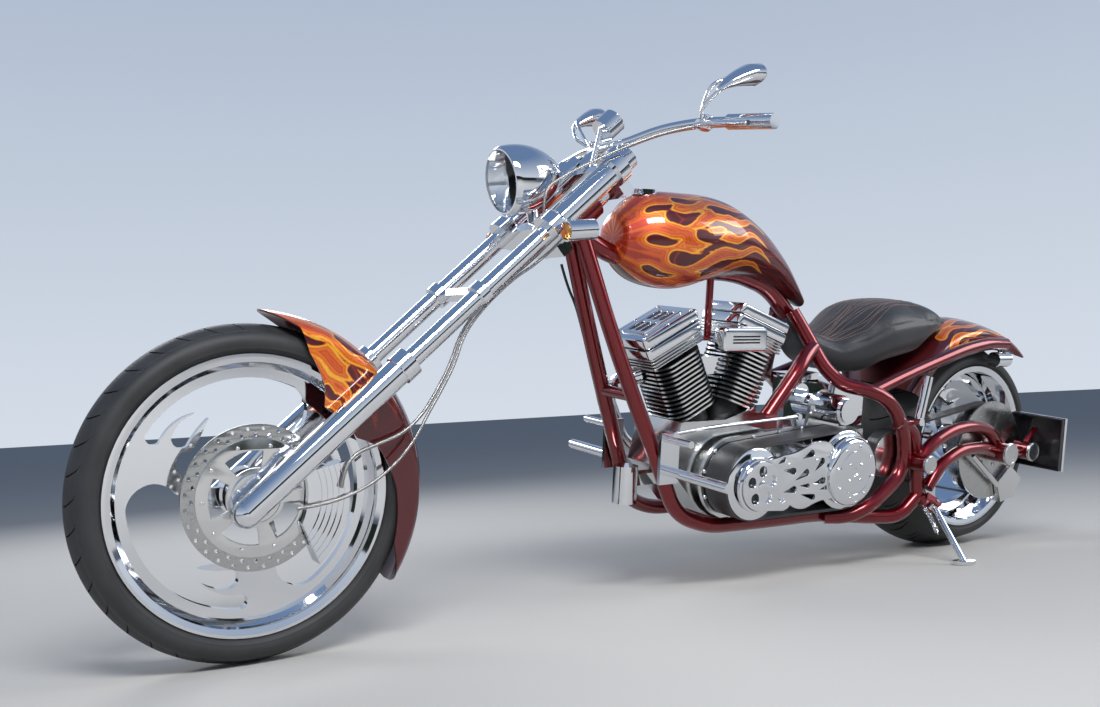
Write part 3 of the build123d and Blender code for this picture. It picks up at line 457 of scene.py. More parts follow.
held_cord("brake_line", "steering", STEERED, [
    (1.556, 0.070, 0.883), (1.601, 0.072, 0.842), (1.653, 0.072, 0.806), (1.731, 0.075, 0.740),
    (1.782, 0.080, 0.680), (1.806, 0.084, 0.615), (1.840, 0.085, 0.556), (1.872, 0.087, 0.508),
    (1.920, 0.091, 0.467), (1.981, 0.096, 0.447), (2.032, 0.101, 0.432), (2.058, 0.104, 0.402),
    (2.065, 0.104, 0.362)], 0.004, braided_steel)
held_cord("speedometer_line", "steering", STEERED, [
    (1.547, 0.082, 0.873), (1.595, 0.084, 0.835), (1.651, 0.086, 0.804), (1.728, 0.089, 0.738),
    (1.779, 0.092, 0.678), (1.802, 0.095, 0.613), (1.836, 0.097, 0.555), (1.868, 0.099, 0.506),
    (1.896, 0.101, 0.458), (1.935, 0.104, 0.412), (1.992, 0.107, 0.369), (2.059, 0.109, 0.341),
    (2.115, 0.109, 0.330), (2.160, 0.108, 0.327)], 0.0035, braided_steel)
held_cord("bar_line", "steering", STEERED, [
    (1.240, 0.232, 1.163), (1.300, 0.200, 1.150), (1.375, 0.160, 1.120), (1.450, 0.122, 1.082),
    (1.520, 0.090, 1.044), (1.580, 0.088, 1.003), (1.570, 0.082, 0.949)], 0.0035, braided_steel)
held_cord("clutch_line", "root", LEANED, [
    (1.430, -0.056, 0.842), (1.404, -0.064, 0.790), (1.372, -0.070, 0.745), (1.347, -0.075, 0.690),
    (1.318, -0.081, 0.620), (1.286, -0.088, 0.545), (1.253, -0.096, 0.455), (1.212, -0.109, 0.421)],
    0.0035, black_rubber)
print("held cords: 4")

# %% [markdown]
# ## Floor and light
# Mirror metal shows what stands round it, so chrome in an all-white room looks like white plastic. The
# room here is a pale floor under a soft sky that deepens upwards, and two dark flags, as product
# photographers use, that only reflections see. Three large soft lamps give shape without hard shadows.


# %% Room
def plane(name, corners, material):
    mesh = bpy.data.meshes.new(name)
    mesh.from_pydata(corners, [], [(0, 1, 2, 3)])
    mesh.materials.append(material)
    obj = bpy.data.objects.new(name, mesh)
    bpy.context.scene.collection.objects.link(obj)
    return obj


floor_paint, shader, _, _ = new_material("floor_paint")
shader.inputs["Base Color"].default_value = (0.56, 0.55, 0.53, 1)
shader.inputs["Roughness"].default_value = 0.8
shader.inputs["Specular IOR Level"].default_value = 0.0
plane("floor", [(-60, -60, -0.001), (60, -60, -0.001), (60, 60, -0.001), (-60, 60, -0.001)], floor_paint)

flag_cloth, shader, _, _ = new_material("flag_cloth")
shader.inputs["Base Color"].default_value = (0.020, 0.030, 0.016, 1)
shader.inputs["Roughness"].default_value = 0.9
flags = [
    plane("flag_left", [(-4.2, 5.6, 0.12), (5.4, 4.4, 0.12), (5.4, 4.4, 0.85), (-4.2, 5.6, 0.85)],
          flag_cloth),
    plane("flag_right", [(-4.6, -4.2, 0.1), (4.6, -4.2, 0.1), (4.6, -4.2, 0.8), (-4.6, -4.2, 0.8)],
          flag_cloth),
]
for flag in flags:
    flag.visible_camera = flag.visible_diffuse = flag.visible_shadow = flag.visible_transmission = False

world = bpy.data.worlds.new("soft_sky")
bpy.context.scene.world = world
world.use_nodes = True
nodes_of_world, links_of_world = world.node_tree.nodes, world.node_tree.links
sky_place = nodes_of_world.new("ShaderNodeTexCoord")
sky_height = nodes_of_world.new("ShaderNodeSeparateXYZ")
sky_ramp = nodes_of_world.new("ShaderNodeValToRGB")
sky_ramp.color_ramp.elements[0].position = 0.0
sky_ramp.color_ramp.elements[0].color = (0.66, 0.72, 0.80, 1)
sky_ramp.color_ramp.elements[1].position = 0.8
sky_ramp.color_ramp.elements[1].color = (0.15, 0.24, 0.42, 1)
light_path = nodes_of_world.new("ShaderNodeLightPath")
seen = nodes_of_world.new("ShaderNodeMath")
seen.operation = "MAXIMUM"
seen_too = nodes_of_world.new("ShaderNodeMath")
seen_too.operation = "MAXIMUM"
sky_strength = nodes_of_world.new("ShaderNodeMapRange")
sky_strength.inputs["To Min"].default_value = 0.55
sky_strength.inputs["To Max"].default_value = 1.0
background = nodes_of_world["Background"]
links_of_world.new(sky_place.outputs["Generated"], sky_height.inputs[0])
links_of_world.new(sky_height.outputs["Z"], sky_ramp.inputs["Fac"])
links_of_world.new(sky_ramp.outputs["Color"], background.inputs["Color"])
links_of_world.new(light_path.outputs["Is Camera Ray"], seen.inputs[0])
links_of_world.new(light_path.outputs["Is Glossy Ray"], seen.inputs[1])
links_of_world.new(seen.outputs[0], seen_too.inputs[0])
links_of_world.new(light_path.outputs["Is Transmission Ray"], seen_too.inputs[1])
links_of_world.new(seen_too.outputs[0], sky_strength.inputs["Value"])
links_of_world.new(sky_strength.outputs["Result"], background.inputs["Strength"])


def soft_lamp(name, place, aim, size, power):
    lamp = bpy.data.lights.new(name, "AREA")
    lamp.shape, lamp.size, lamp.size_y, lamp.energy = "RECTANGLE", size[0], size[1], power
    obj = bpy.data.objects.new(name, lamp)
    bpy.context.scene.collection.objects.link(obj)
    obj.location = place
    obj.rotation_euler = (Vector(aim) - Vector(place)).to_track_quat("-Z", "Y").to_euler()


soft_lamp("key_lamp", (1.6, 3.0, 3.4), (0.0, 0, 0.5), (2.4, 1.0), 170)
soft_lamp("fill_lamp", (-3.2, 2.2, 2.2), (-0.6, 0, 0.5), (2.0, 2.0), 60)
soft_lamp("back_lamp", (0.4, -3.4, 2.6), (0, 0, 0.6), (3.2, 1.0), 70)
bpy.context.scene.view_settings.view_transform = "Standard"
print("stage ready")

# %% [markdown]
# ## The CAD pieces' own finishes
# The pieces whose CAD shape is right stay, and keep the smooth normals that they were packed with. Only
# the box-like ones get a narrow bevel, because a real edge always catches a thin line of light.

# %% Dress the CAD nodes
finish_of = {
    tyre_rubber: ["front_tyre", "rear_tyre"],
    chrome: ["front_rim", "rear_rim", "front_axle", "rear_axle", "fork_left", "fork_right", "fork_clamps",
             "handlebar",
             "hand_controls", "speedometer", "headlight", "front_signals", "front_calipers", "fuel_cap",
             "rocker_boxes",
             "coil_cover", "primary_pulleys", "starter", "air_cleaner", "exhaust_pipes", "oil_tank",
             "oil_filter",
             "foot_controls", "passenger_pegs", "rear_signals", "side_stand"],
    machined_steel: ["front_rotors", "rear_rotor"],
    polished_alloy: ["rear_pulley", "crankcase", "primary_plate", "primary_cover", "transmission",
                     "rear_caliper"],
    fin_metal: ["cylinders"],
    candy_red: ["frame_backbone", "frame_rear", "frame_cradle", "swingarm", "top_mount"],
    flame_paint: ["tank", "front_fender", "rear_fender"],
    black_leather: ["seat"],
    belt_rubber: ["primary_belt", "final_belt"],
    black_metal: ["plate_holder"],
    clear_lens: ["headlight_lens"],
}
bevelled = {"crankcase": 0.0016, "transmission": 0.0016}
for finish, names in finish_of.items():
    for name in names:
        node = nodes[name]
        node.data.materials.clear()
        node.data.materials.append(finish)
        if name in bevelled:
            weld = node.modifiers.new("weld", "WELD")
            weld.merge_threshold = 0.00002
            bevel = node.modifiers.new("edge", "BEVEL")
            bevel.width, bevel.segments = bevelled[name], 2
            bevel.limit_method, bevel.angle_limit = "ANGLE", math.radians(40)
            bevel.use_clamp_overlap = True
            bevel.harden_normals = True
print("dressed", sum(len(names) for names in finish_of.values()), "of", len(nodes))

# %% [markdown]
# ## Helpers for the added pieces
# Turned parts are one outline spun about an axis. What repeats, such as bolts, stitches and tread
# grooves, is placed by one Geometry Nodes tree: a carrier mesh has a point for each, with the two
# directions it faces.


# %% Helpers
def new_piece(name, mesh, body, finish, replaced=()):
    """Puts a finished mesh in the scene as a piece that moves with a body."""
    if finish is not None:
        mesh.materials.clear()
        mesh.materials.append(finish)
    obj = bpy.data.objects.new(name, mesh)
    bpy.context.scene.collection.objects.link(obj)
    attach(obj, body)
    if replaced:
        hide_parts(*replaced)
    return obj


def smooth(mesh, angle=32):
    for face in mesh.polygons:
        face.use_smooth = True
    mesh.set_sharp_from_angle(angle=math.radians(angle))


def arc_points(first, middle, last, count):
    """Points along the arc through three flat points, both ends included."""
    (ax, ay), (bx, by), (cx, cy) = first, middle, last
    twice = 2 * (ax * (by - cy) + bx * (cy - ay) + cx * (ay - by))
    a2, b2, c2 = ax * ax + ay * ay, bx * bx + by * by, cx * cx + cy * cy
    ux = (a2 * (by - cy) + b2 * (cy - ay) + c2 * (ay - by)) / twice
    uy = (a2 * (cx - bx) + b2 * (ax - cx) + c2 * (bx - ax)) / twice
    radius = math.hypot(ax - ux, ay - uy)
    start, mid, end = (math.atan2(y - uy, x - ux) for x, y in (first, middle, last))
    turn = (end - start) % (2 * math.pi)
    if (mid - start) % (2 * math.pi) > turn:
        turn -= 2 * math.pi
    return [(ux + radius * math.cos(start + turn * n / (count - 1)),
             uy + radius * math.sin(start + turn * n / (count - 1)))
            for n in range(count)]


def ring_mesh(name, rings, closed=False):
    """A mesh over rings of points. The last joins the first, or both get a lid. One point is a pole."""
    starts = [sum(len(ring) for ring in rings[:n]) for n in range(len(rings))]
    count = max(len(ring) for ring in rings)
    faces = []
    for one in range(len(rings) - (0 if closed else 1)):
        two = (one + 1) % len(rings)
        for n in range(count):
            corners = [starts[row] + step % len(rings[row]) for row, step in
                       ((one, n), (one, (n + 1) % count), (two, (n + 1) % count), (two, n))]
            corners = list(dict.fromkeys(corners))
            if len(corners) > 2:
                faces.append(corners)
    if not closed:
        faces += [[starts[row] + n for n in range(len(rings[row]))] for row in (0, -1)
                  if len(rings[row]) > 2]
    mesh = bpy.data.meshes.new(name)
    mesh.from_pydata([tuple(point) for ring in rings for point in ring], [], faces)
    outward(mesh)
    return mesh


def outward(mesh, weld=None):
    """Turns a mesh's normals outwards, after joining points that lie closer than a given distance."""
    shape = bmesh.new()
    shape.from_mesh(mesh)
    if weld:
        bmesh.ops.remove_doubles(shape, verts=shape.verts, dist=weld)
    bmesh.ops.recalc_face_normals(shape, faces=shape.faces)
    shape.to_mesh(mesh)
    shape.free()


def spun(name, outline, drawing, count=64, closed=False):
    """A turned solid about the drawing's own Y axis, from an outline of (across, radius) in millimetres."""
    turns = [2 * math.pi * n / count for n in range(count)]
    return ring_mesh(name, [
        [drawing @ mm(radius * math.cos(a), across, radius * math.sin(a))
         for a in (turns if radius > 1e-6 else [0])]
        for across, radius in outline], closed)


def axis_frame(at, way, across=(0, 1, 0)):
    """A frame at an upright point whose Y axis is the given direction."""
    way = Vector(way).normalized()
    side = Vector(across) if abs(way.dot(Vector(across))) < 0.9 else Vector((1, 0, 0))
    third = side.cross(way).normalized()
    return Matrix.Translation(Vector(at)) @ Matrix((way.cross(third), way, third)).transposed().to_4x4()


placing = bpy.data.node_groups.new("place_pieces", "GeometryNodeTree")
placing.interface.new_socket("Geometry", in_out="INPUT", socket_type="NodeSocketGeometry")
placing_inputs = {label: placing.interface.new_socket(label, in_out="INPUT", socket_type=kind).identifier
                  for label, kind in (("Template", "NodeSocketObject"), ("Size", "NodeSocketFloat"),
                                      ("Finish", "NodeSocketMaterial"))}
placing.interface.new_socket("Geometry", in_out="OUTPUT", socket_type="NodeSocketGeometry")
tree_nodes, tree_link = placing.nodes, placing.links.new
tree_in, tree_out = tree_nodes.new("NodeGroupInput"), tree_nodes.new("NodeGroupOutput")
template_info = tree_nodes.new("GeometryNodeObjectInfo")
put = tree_nodes.new("GeometryNodeInstanceOnPoints")
facing, heading = (tree_nodes.new("FunctionNodeAlignRotationToVector") for _ in range(2))
facing.axis, heading.axis, heading.pivot_axis = "Z", "X", "Z"
for turn, label in ((facing, "facing"), (heading, "heading")):
    direction = tree_nodes.new("GeometryNodeInputNamedAttribute")
    direction.data_type = "FLOAT_VECTOR"
    direction.inputs["Name"].default_value = label
    tree_link(direction.outputs["Attribute"], turn.inputs["Vector"])
realize = tree_nodes.new("GeometryNodeRealizeInstances")
colour = tree_nodes.new("GeometryNodeSetMaterial")
tree_link(tree_in.outputs["Template"], template_info.inputs["Object"])
tree_link(tree_in.outputs["Geometry"], put.inputs["Points"])
tree_link(template_info.outputs["Geometry"], put.inputs["Instance"])
tree_link(tree_in.outputs["Size"], put.inputs["Scale"])
tree_link(facing.outputs["Rotation"], heading.inputs["Rotation"])
tree_link(heading.outputs["Rotation"], put.inputs["Rotation"])
tree_link(put.outputs["Instances"], realize.inputs["Geometry"])
tree_link(realize.outputs["Geometry"], colour.inputs["Geometry"])
tree_link(tree_in.outputs["Finish"], colour.inputs["Material"])
tree_link(colour.outputs["Geometry"], tree_out.inputs["Geometry"])


def placed(name, template, spots, finish, size=1.0):
    """A plain mesh with the template at each spot, given as (place, facing, heading)."""
    carrier_mesh = bpy.data.meshes.new(name + "_carrier")
    carrier_mesh.from_pydata([tuple(spot[0]) for spot in spots], [], [])
    for label, column in (("facing", 1), ("heading", 2)):
        attribute = carrier_mesh.attributes.new(label, "FLOAT_VECTOR", "POINT")
        attribute.data.foreach_set("vector", [c for spot in spots for c in spot[column]])
    carrier = bpy.data.objects.new(name + "_carrier", carrier_mesh)
    pattern = bpy.data.objects.new(name + "_pattern", template)
    bpy.context.scene.collection.objects.link(carrier)
    bpy.context.scene.collection.objects.link(pattern)
    modifier = carrier.modifiers.new("place", "NODES")
    modifier.node_group = placing
    modifier[placing_inputs["Template"]] = pattern
    modifier[placing_inputs["Size"]] = size
    modifier[placing_inputs["Finish"]] = finish
    bpy.context.view_layer.update()
    mesh = bpy.data.meshes.new_from_object(carrier.evaluated_get(bpy.context.evaluated_depsgraph_get()))
    bpy.data.objects.remove(carrier)
    bpy.data.objects.remove(pattern)
    return mesh


def ring_spots(drawing, radius, across, count, start=0.0, facing_out=False):
    """Spots round the drawing's Y axis, in millimetres, that face along the axis or away from it."""
    turn = drawing.to_3x3()
    spots = []
    for n in range(count):
        angle = start + 2 * math.pi * n / count
        out = Vector((math.cos(angle), 0, math.sin(angle)))
        along = Vector((0, 1, 0))
        face, head = (out, along) if facing_out else (along, out)
        spots.append((drawing @ (out * radius / 1000 + along * across / 1000), turn @ face, turn @ head))
    return spots


def socket_bolt(radius, height, sides=12):
    """A button head with a six-sided socket, standing on its base and facing +Z, in millimetres."""
    rings = []
    for share, up, hexed in ((1.0, 0.0, 0), (1.0, 0.45, 0), (0.86, 0.85, 0), (0.62, 1.0, 0),
                             (0.46, 1.0, 1), (0.42, 0.45, 1)):
        ring = []
        for n in range(sides):
            angle = 2 * math.pi * n / sides
            reach = radius * share
            if hexed:
                reach *= math.cos(math.pi / 6) / math.cos((angle % (math.pi / 3)) - math.pi / 6)
            ring.append(mm(reach * math.cos(angle), reach * math.sin(angle), height * up))
        rings.append(ring)
    mesh = ring_mesh("socket_bolt", rings)
    smooth(mesh, 40)
    return mesh


def joined(name, meshes):
    """Several meshes as one."""
    shape = bmesh.new()
    for mesh in meshes:
        shape.from_mesh(mesh)
    made = bpy.data.meshes.new(name)
    shape.to_mesh(made)
    shape.free()
    return made


def tube(name, points, radius, drawing, sides=12, smooth_steps=8, taper=None):
    """A round bar along a smooth curve through upright points in millimetres, closed at both ends."""
    controls = [Vector(point) for point in points]
    path = [controls[0]]
    for n in range(len(controls) - 1):
        before, here = controls[max(n - 1, 0)], controls[n]
        there, after = controls[n + 1], controls[min(n + 2, len(controls) - 1)]
        for step in range(1, smooth_steps + 1):
            t = step / smooth_steps
            path.append(0.5 * ((2 * here) + (there - before) * t
                               + (2 * before - 5 * here + 4 * there - after) * t * t
                               + (3 * here - before - 3 * there + after) * t ** 3))
    side, rings = None, []
    for n, at in enumerate(path):
        way = (path[min(n + 1, len(path) - 1)] - path[max(n - 1, 0)]).normalized()
        side = way.orthogonal().normalized() if side is None else (side - way * side.dot(way)).normalized()
        other = way.cross(side)
        reach = radius * (taper(n / (len(path) - 1)) if taper else 1.0)
        rings.append([drawing @ ((at + reach * (math.cos(a) * side + math.sin(a) * other)) / 1000)
                      for a in (2 * math.pi * k / sides for k in range(sides))])
    mesh = ring_mesh(name, rings)
    smooth(mesh, 40)
    return mesh


print("helpers ready")

# %% [markdown]
# ## Tyres
# A tyre is turned from its section: tread, rounded shoulders and a bulging wall with a rim guard. The
# tread has slanted, slightly curved grooves on both sides of a plain middle. They are real cuts, made
# with a boolean, so that the outline shows them too.

# %% Tyres
front_wall = arc_points((44.5, 290), (60, 311), (38, 350 - 60 + math.sqrt(60**2 - 38**2)), 13)
front_tread = arc_points((38, 350 - 60 + math.sqrt(60**2 - 38**2)),
                         (20, 350 - 60 + math.sqrt(60**2 - 20**2)), (0, 350), 9)
rear_wall = arc_points((136, 249), (148, 262), (141, 281), 9)
rear_tread = arc_points((98, 333 - 170 + math.sqrt(170**2 - 98**2)),
                        (50, 333 - 170 + math.sqrt(170**2 - 50**2)), (0, 333), 11)


def tyre_outline(seat, wall, tread):
    """The closed section, with a small step where the wall's rim guard ends."""
    half = [(wall[0][0], seat)] + wall[:3] + [(wall[3][0] + 0.7, wall[3][1]),
                                              (wall[3][0] + 0.7, wall[3][1] + 0.6)]
    half += [(wall[4][0], wall[4][1])] + wall[5:] + tread[1:]
    return half + [(-across, radius) for across, radius in reversed(half[:-1])]


def groove(surface, low, high, sweep, width, depth):
    """A curved cut across one side of the tread, facing +Z, with X across the tyre."""
    steps, rings = 10, []
    for n in range(steps + 1):
        t = n / steps
        across = low + (high - low) * t
        turn = sweep * t * t
        narrow = width * (0.35 + 0.65 * math.sin(math.pi * min(1.0, 0.12 + 0.9 * t)))
        ground = surface(across)
        ring = []
        for side, up in ((-1, -depth), (1, -depth), (1, 6), (-1, 6)):
            reach, angle = ground + up, turn + side * narrow / (2 * ground)
            ring.append(mm(across, reach * math.sin(angle), reach * math.cos(angle)))
        rings.append(ring)
    return ring_mesh("groove", rings)


def tyre(name, node, body, wheel, seat, wall, tread, crown, radius, grooves, segments):
    """A turned tyre with its tread cut in."""
    blank = spun(name, tyre_outline(seat, wall, tread), Matrix.Identity(4), segments, closed=True)
    surface = lambda across: radius - crown + math.sqrt(crown**2 - min(abs(across), crown * 0.99)**2)
    cutters = []
    for low, high, sweep, width, depth, count, start in grooves:
        for side in (1, -1):
            template = groove(surface, side * low, side * high, sweep, width, depth)
            spots = [(Vector(), out, Vector((0, 1, 0))) for out in
                     (Vector((math.cos(a), 0, math.sin(a))) for a in
                      (start + (0.5 * (side < 0) + n) * 2 * math.pi / count for n in range(count)))]
            cutters.append(placed(name + "_grooves", template, spots, tyre_rubber))
    body_object = bpy.data.objects.new(name + "_blank", blank)
    cutter_object = bpy.data.objects.new(name + "_cutters", joined(name + "_cutters", cutters))
    for obj in (body_object, cutter_object):
        bpy.context.scene.collection.objects.link(obj)
    cut = body_object.modifiers.new("tread", "BOOLEAN")
    cut.operation, cut.object, cut.solver = "DIFFERENCE", cutter_object, "MANIFOLD"
    bpy.context.view_layer.update()
    mesh = bpy.data.meshes.new_from_object(body_object.evaluated_get(bpy.context.evaluated_depsgraph_get()))
    bpy.data.objects.remove(body_object)
    bpy.data.objects.remove(cutter_object)
    mesh.transform(wheel)
    smooth(mesh, 30)
    made = new_piece(name, mesh, body, tyre_rubber, [node])
    print(name, "faces", len(mesh.polygons))
    return made


tyre("front_tyre_tread", "front_tyre", "front_wheel", FRONT_WHEEL, 277.3, front_wall, front_tread, 60, 350,
     [(7, 47, 0.085, 4.2, 4.5, 38, 0.0)], 228)
tyre("rear_tyre_tread", "rear_tyre", "rear_wheel", REAR_WHEEL, 236.3, rear_wall, rear_tread, 170, 333,
     [(14, 92, 0.13, 6.0, 6.0, 26, 0.0), (50, 95, 0.05, 4.5, 5.0, 26, 0.12)], 208)

# %% [markdown]
# ## Bolts
# Real machines are full of bolt heads, and a surface without any looks like a toy. One head with a socket
# is placed round the brake discs, hubs and pulley, on the rocker boxes, the drive's cover and the lower
# case.

# %% Bolts
button = socket_bolt(6.0, 4.0)
small_button = socket_bolt(4.2, 3.0)
CLUTCH = LEANED @ Matrix.Translation(mm(635, 0, 317))
CRANK = LEANED @ Matrix.Translation(mm(975, 0, 305))


def bolt_set(name, body, template, spots, finish=None):
    mesh = placed(name, template, spots, finish or chrome)
    return new_piece(name, mesh, body, finish or chrome)


bolt_set("front_wheel_bolts", "front_wheel", small_button,
         ring_spots(FRONT_WHEEL, 107, 74, 10, math.radians(-2)) + ring_spots(FRONT_WHEEL, 40, 77.4, 5, 0.4)
         + ring_spots(FRONT_WHEEL, 46, 22, 5, 0.3))
bolt_set("rear_wheel_bolts", "rear_wheel", button,
         ring_spots(REAR_WHEEL, 50, 210.5, 5, 0.5) + ring_spots(REAR_WHEEL, 50, 86, 5, 0.2))


def cylinder_frame(tilt, at, shift=0):
    """A frame on a cylinder's axis whose Y axis points along it, away from the crank."""
    way = Vector((math.sin(tilt), 0, math.cos(tilt)))
    side = Vector((math.cos(tilt), 0, -math.sin(tilt)))
    origin = Vector((crank_place[0], 0, crank_place[1])) + way * at / 1000 + side * shift / 1000
    return LEANED @ Matrix.Translation(origin) @ Matrix((side, way, side.cross(way))).transposed().to_4x4()


lid_spots = []
for tilt, shift in zip(cylinder_leans, (8, 10)):
    lid = cylinder_frame(tilt, 448, shift)
    turn = lid.to_3x3()
    for across in (-82, 0, 82):
        for side in (-65, 65):
            lid_spots.append((lid @ mm(across, -0.6, side), turn @ Vector((0, 1, 0)),
                              turn @ Vector((1, 0, 0))))
bolt_set("rocker_box_bolts", "root", small_button, lid_spots)

face = LEANED.to_3x3()
cover_spots = [(635 + 135, 317 + 40), (975 - 90, 305 - 50), (975 - 100, 305 + 48), (930, 350), (925, 262),
               (722, 392), (700, 246)]
bolt_set("primary_cover_bolts", "root", small_button,
         [(LEANED @ mm(x, 219.6, z), face @ Vector((0, 1, 0)), face @ Vector((1, 0, 0))) for x,
          z in cover_spots[:3]]
         + ring_spots(CLUTCH, 96, 219.6, 4, 0.6))
plate_spots = [(1072, 330), (1066, 262), (975, 203), (860, 207), (760, 200), (905, 410), (812, 418),
               (722, 423), (690, 463), (560, 498),
               (560, 440), (1040, 380)]
bolt_set("primary_plate_bolts", "root", button,
         [(LEANED @ mm(x, 115.8, z), face @ Vector((0, 1, 0)), face @ Vector((1, 0, 0))) for x,
          z in plate_spots])

# %% [markdown]
# ## The side stand's spring
# A side stand is held up and down by a coil spring between the frame and the leg. It is a wire on a helix
# round a line that bends a little, with a short straight lead at each end.

# %% Spring
spring_line = [Vector(p) for p in ((352, 254, 197), (338, 262, 176), (324, 268, 152), (311, 272, 128))]
spring_turns, spring_radius, spring_wire = 15, 6.0, 1.25


def on_line(t):
    n = min(int(t * (len(spring_line) - 1)), len(spring_line) - 2)
    return spring_line[n].lerp(spring_line[n + 1], t * (len(spring_line) - 1) - n)


spring_way = (spring_line[-1] - spring_line[0]).normalized()
spring_side = spring_way.orthogonal().normalized()
spring_other = spring_way.cross(spring_side)
coil = [spring_line[0] - spring_way * 9, spring_line[0] - spring_way * 4]
for n in range(spring_turns * 10 + 1):
    angle = 2 * math.pi * n / 10
    coil.append(on_line(n / (spring_turns * 10)) + spring_radius * (math.cos(angle) * spring_side
                                                                    + math.sin(angle) * spring_other))
coil += [spring_line[-1] + spring_way * 4, spring_line[-1] + spring_way * 10]
new_piece("stand_spring", tube("stand_spring", coil, spring_wire, LEANED, sides=6, smooth_steps=2),
          "side_stand", chrome)
print("spring points", len(coil))

# %% [markdown]
# ## Headlight
# The CAD lamp is solid. Here its shell is one turned skin with the same outside, that folds over the rim
# and runs back inside as a polished bowl, with a small bulb in it. The clear lens stays the CAD's.

# %% Headlight
head_middle = Vector((1448.45, 0, 941.08))
lamp_drop = math.radians(10)
lamp_way = Vector((math.cos(lamp_drop), 0, -math.sin(lamp_drop)))
LAMP = STEERED @ axis_frame((head_middle + Vector((142, 0, 97))) / 1000, lamp_way)
shell_outline = [(-120, 0)] + arc_points((-120, 0), (-60, 62), (36, 82), 17)[1:] + [(43, 80.5), (50, 76),
                                                                                    (50, 72.4), (42.3, 72.4)]
bowl_outline = [(40, 69), (30, 64), (14, 54), (0, 43), (-11, 30), (-18, 16), (-20, 9), (-20, 0)]
shell = spun("headlight_shell", shell_outline + bowl_outline, LAMP, 72)
stalk = tube("lamp_stalk", [head_middle + Vector((108, 0, 34)), head_middle + Vector((104, 0, 6)),
                            head_middle + Vector((100, 0, -23))],
             14, STEERED, sides=20, smooth_steps=3)
shell = joined("headlight_shell", [shell, stalk])
smooth(shell, 35)
new_piece("headlight_shell", shell, "steering", chrome, ["headlight"])
bulb = spun("headlight_bulb", [(-20, 0), (-20, 8), (-12, 8), (-10, 5.5), (2, 5.5), (7, 3.5), (9, 0)],
            LAMP, 20)
smooth(bulb, 40)
new_piece("headlight_bulb", bulb, "steering", chrome)


def lens_cap(name, body, drawing, at, way, radius, finish):
    """A low glass dome on the end of a signal."""
    dome = [(0, 0)] + [(0, radius)] + [(radius * 0.42 * math.sin(a), radius * math.cos(a)) for a in
                                        (math.pi / 2 * n / 8 for n in range(1, 8))] + [(radius * 0.42, 0)]
    mesh = spun(name, dome, drawing @ axis_frame(Vector(at) / 1000, way), 32)
    smooth(mesh, 40)
    return new_piece(name, mesh, body, finish)


for side, word in ((1, "left"), (-1, "right")):
    at = head_middle + Vector((122, side * 178, -34))
    lens_cap("front_signal_lens_" + word, "steering", STEERED, at, (72, 0, -7), 20.5, amber_lens)
    lens_cap("rear_signal_lens_" + word, "root", LEANED, (-84, side * 186, 606), (-1, 0, 0), 19.5, red_lens)
print("lamps ready")

# %% [markdown]
# ## Speedometer face
# The small clock stands on the upper clamp and faces the rider. It has a dark dial with plain marks, a
# needle and a bright rim.

# %% Speedometer face
CLOCK = STEERED @ Matrix.Translation((wheelbase, 0, front_radius)) @ axis_frame(
    tube_front * 0.056 + tube_way * 1.242, tube_way)
rim = spun("clock_rim", [(-1, 31), (2.5, 31.2), (4, 29.5), (3.2, 27.5), (0.4, 27), (-1, 27)], CLOCK, 48,
           closed=True)
smooth(rim, 40)
new_piece("clock_rim", rim, "steering", chrome)
dial = spun("clock_dial", [(0, 0), (0, 27.4), (0.7, 27.4), (0.7, 0)], CLOCK, 48)
new_piece("clock_dial", dial, "steering", black_metal)
mark = bpy.data.meshes.new("clock_mark")
mark_shape = bmesh.new()
bmesh.ops.create_cube(mark_shape, size=1.0, matrix=Matrix.Diagonal((0.005, 0.0008, 0.0006, 1)))
mark_shape.to_mesh(mark)
marks = placed("clock_marks", mark, ring_spots(CLOCK, 22, 0.9, 24), satin_alloy)
mark_shape.transform(Matrix.Diagonal((3.6, 1.4, 1, 1)))
mark_shape.to_mesh(mark)
needle = placed("clock_needle", mark, ring_spots(CLOCK, 7, 1.4, 1, 2.2), satin_alloy)
mark_shape.free()
new_piece("clock_marks", joined("clock_marks", [marks, needle]), "steering", satin_alloy)
print("clock ready")

# %% [markdown]
# ## Right side of the engine
# The photograph doesn't show it. Such an engine has its timing case there, with the pushrods' chromed
# tubes running from it up to the rocker boxes, so they are added in their usual places.

# %% Timing case and pushrod tubes
case_outline = [(84, 0), (84, 78), (96, 78), (103, 73), (106, 62), (107, 30), (110, 27), (110, 0)]
timing = spun("timing_case", case_outline, LEANED @ axis_frame(mm(975, 0, 318), (0, -1, 0)), 48)
lobe = spun("timing_case_lobe", [(84, 0), (84, 40), (94, 40), (98, 36), (99, 20), (99, 0)],
            LEANED @ axis_frame(mm(1046, 0, 352), (0, -1, 0)), 40)
lobe_rear = spun("timing_case_rear", [(84, 0), (84, 40), (94, 40), (98, 36), (99, 20), (99, 0)],
                 LEANED @ axis_frame(mm(906, 0, 352), (0, -1, 0)), 40)
pushrods = []
for foot_x, tilt, shift in ((1010, 26, -38), (1036, 26, 4), (944, -19, 38), (918, -19, -4)):
    way = Vector((math.sin(math.radians(tilt)), 0, math.cos(math.radians(tilt))))
    side = Vector((way.z, 0, -way.x))
    top = Vector((975, 0, 305)) + way * 386 + side * shift
    foot = Vector((foot_x, -82, 392))
    top.y = -84
    pushrods.append(tube("pushrod", [foot, foot.lerp(top, 0.5), top], 9.5, LEANED, sides=16,
                         smooth_steps=2))
    pushrods.append(tube("pushrod_cup", [foot, foot.lerp(top, 0.07), foot.lerp(top, 0.14)], 13, LEANED,
                         sides=16, smooth_steps=2))
timing_mesh = joined("timing_case", [timing, lobe, lobe_rear])
smooth(timing_mesh, 35)
new_piece("timing_case", timing_mesh, "root", polished_alloy)
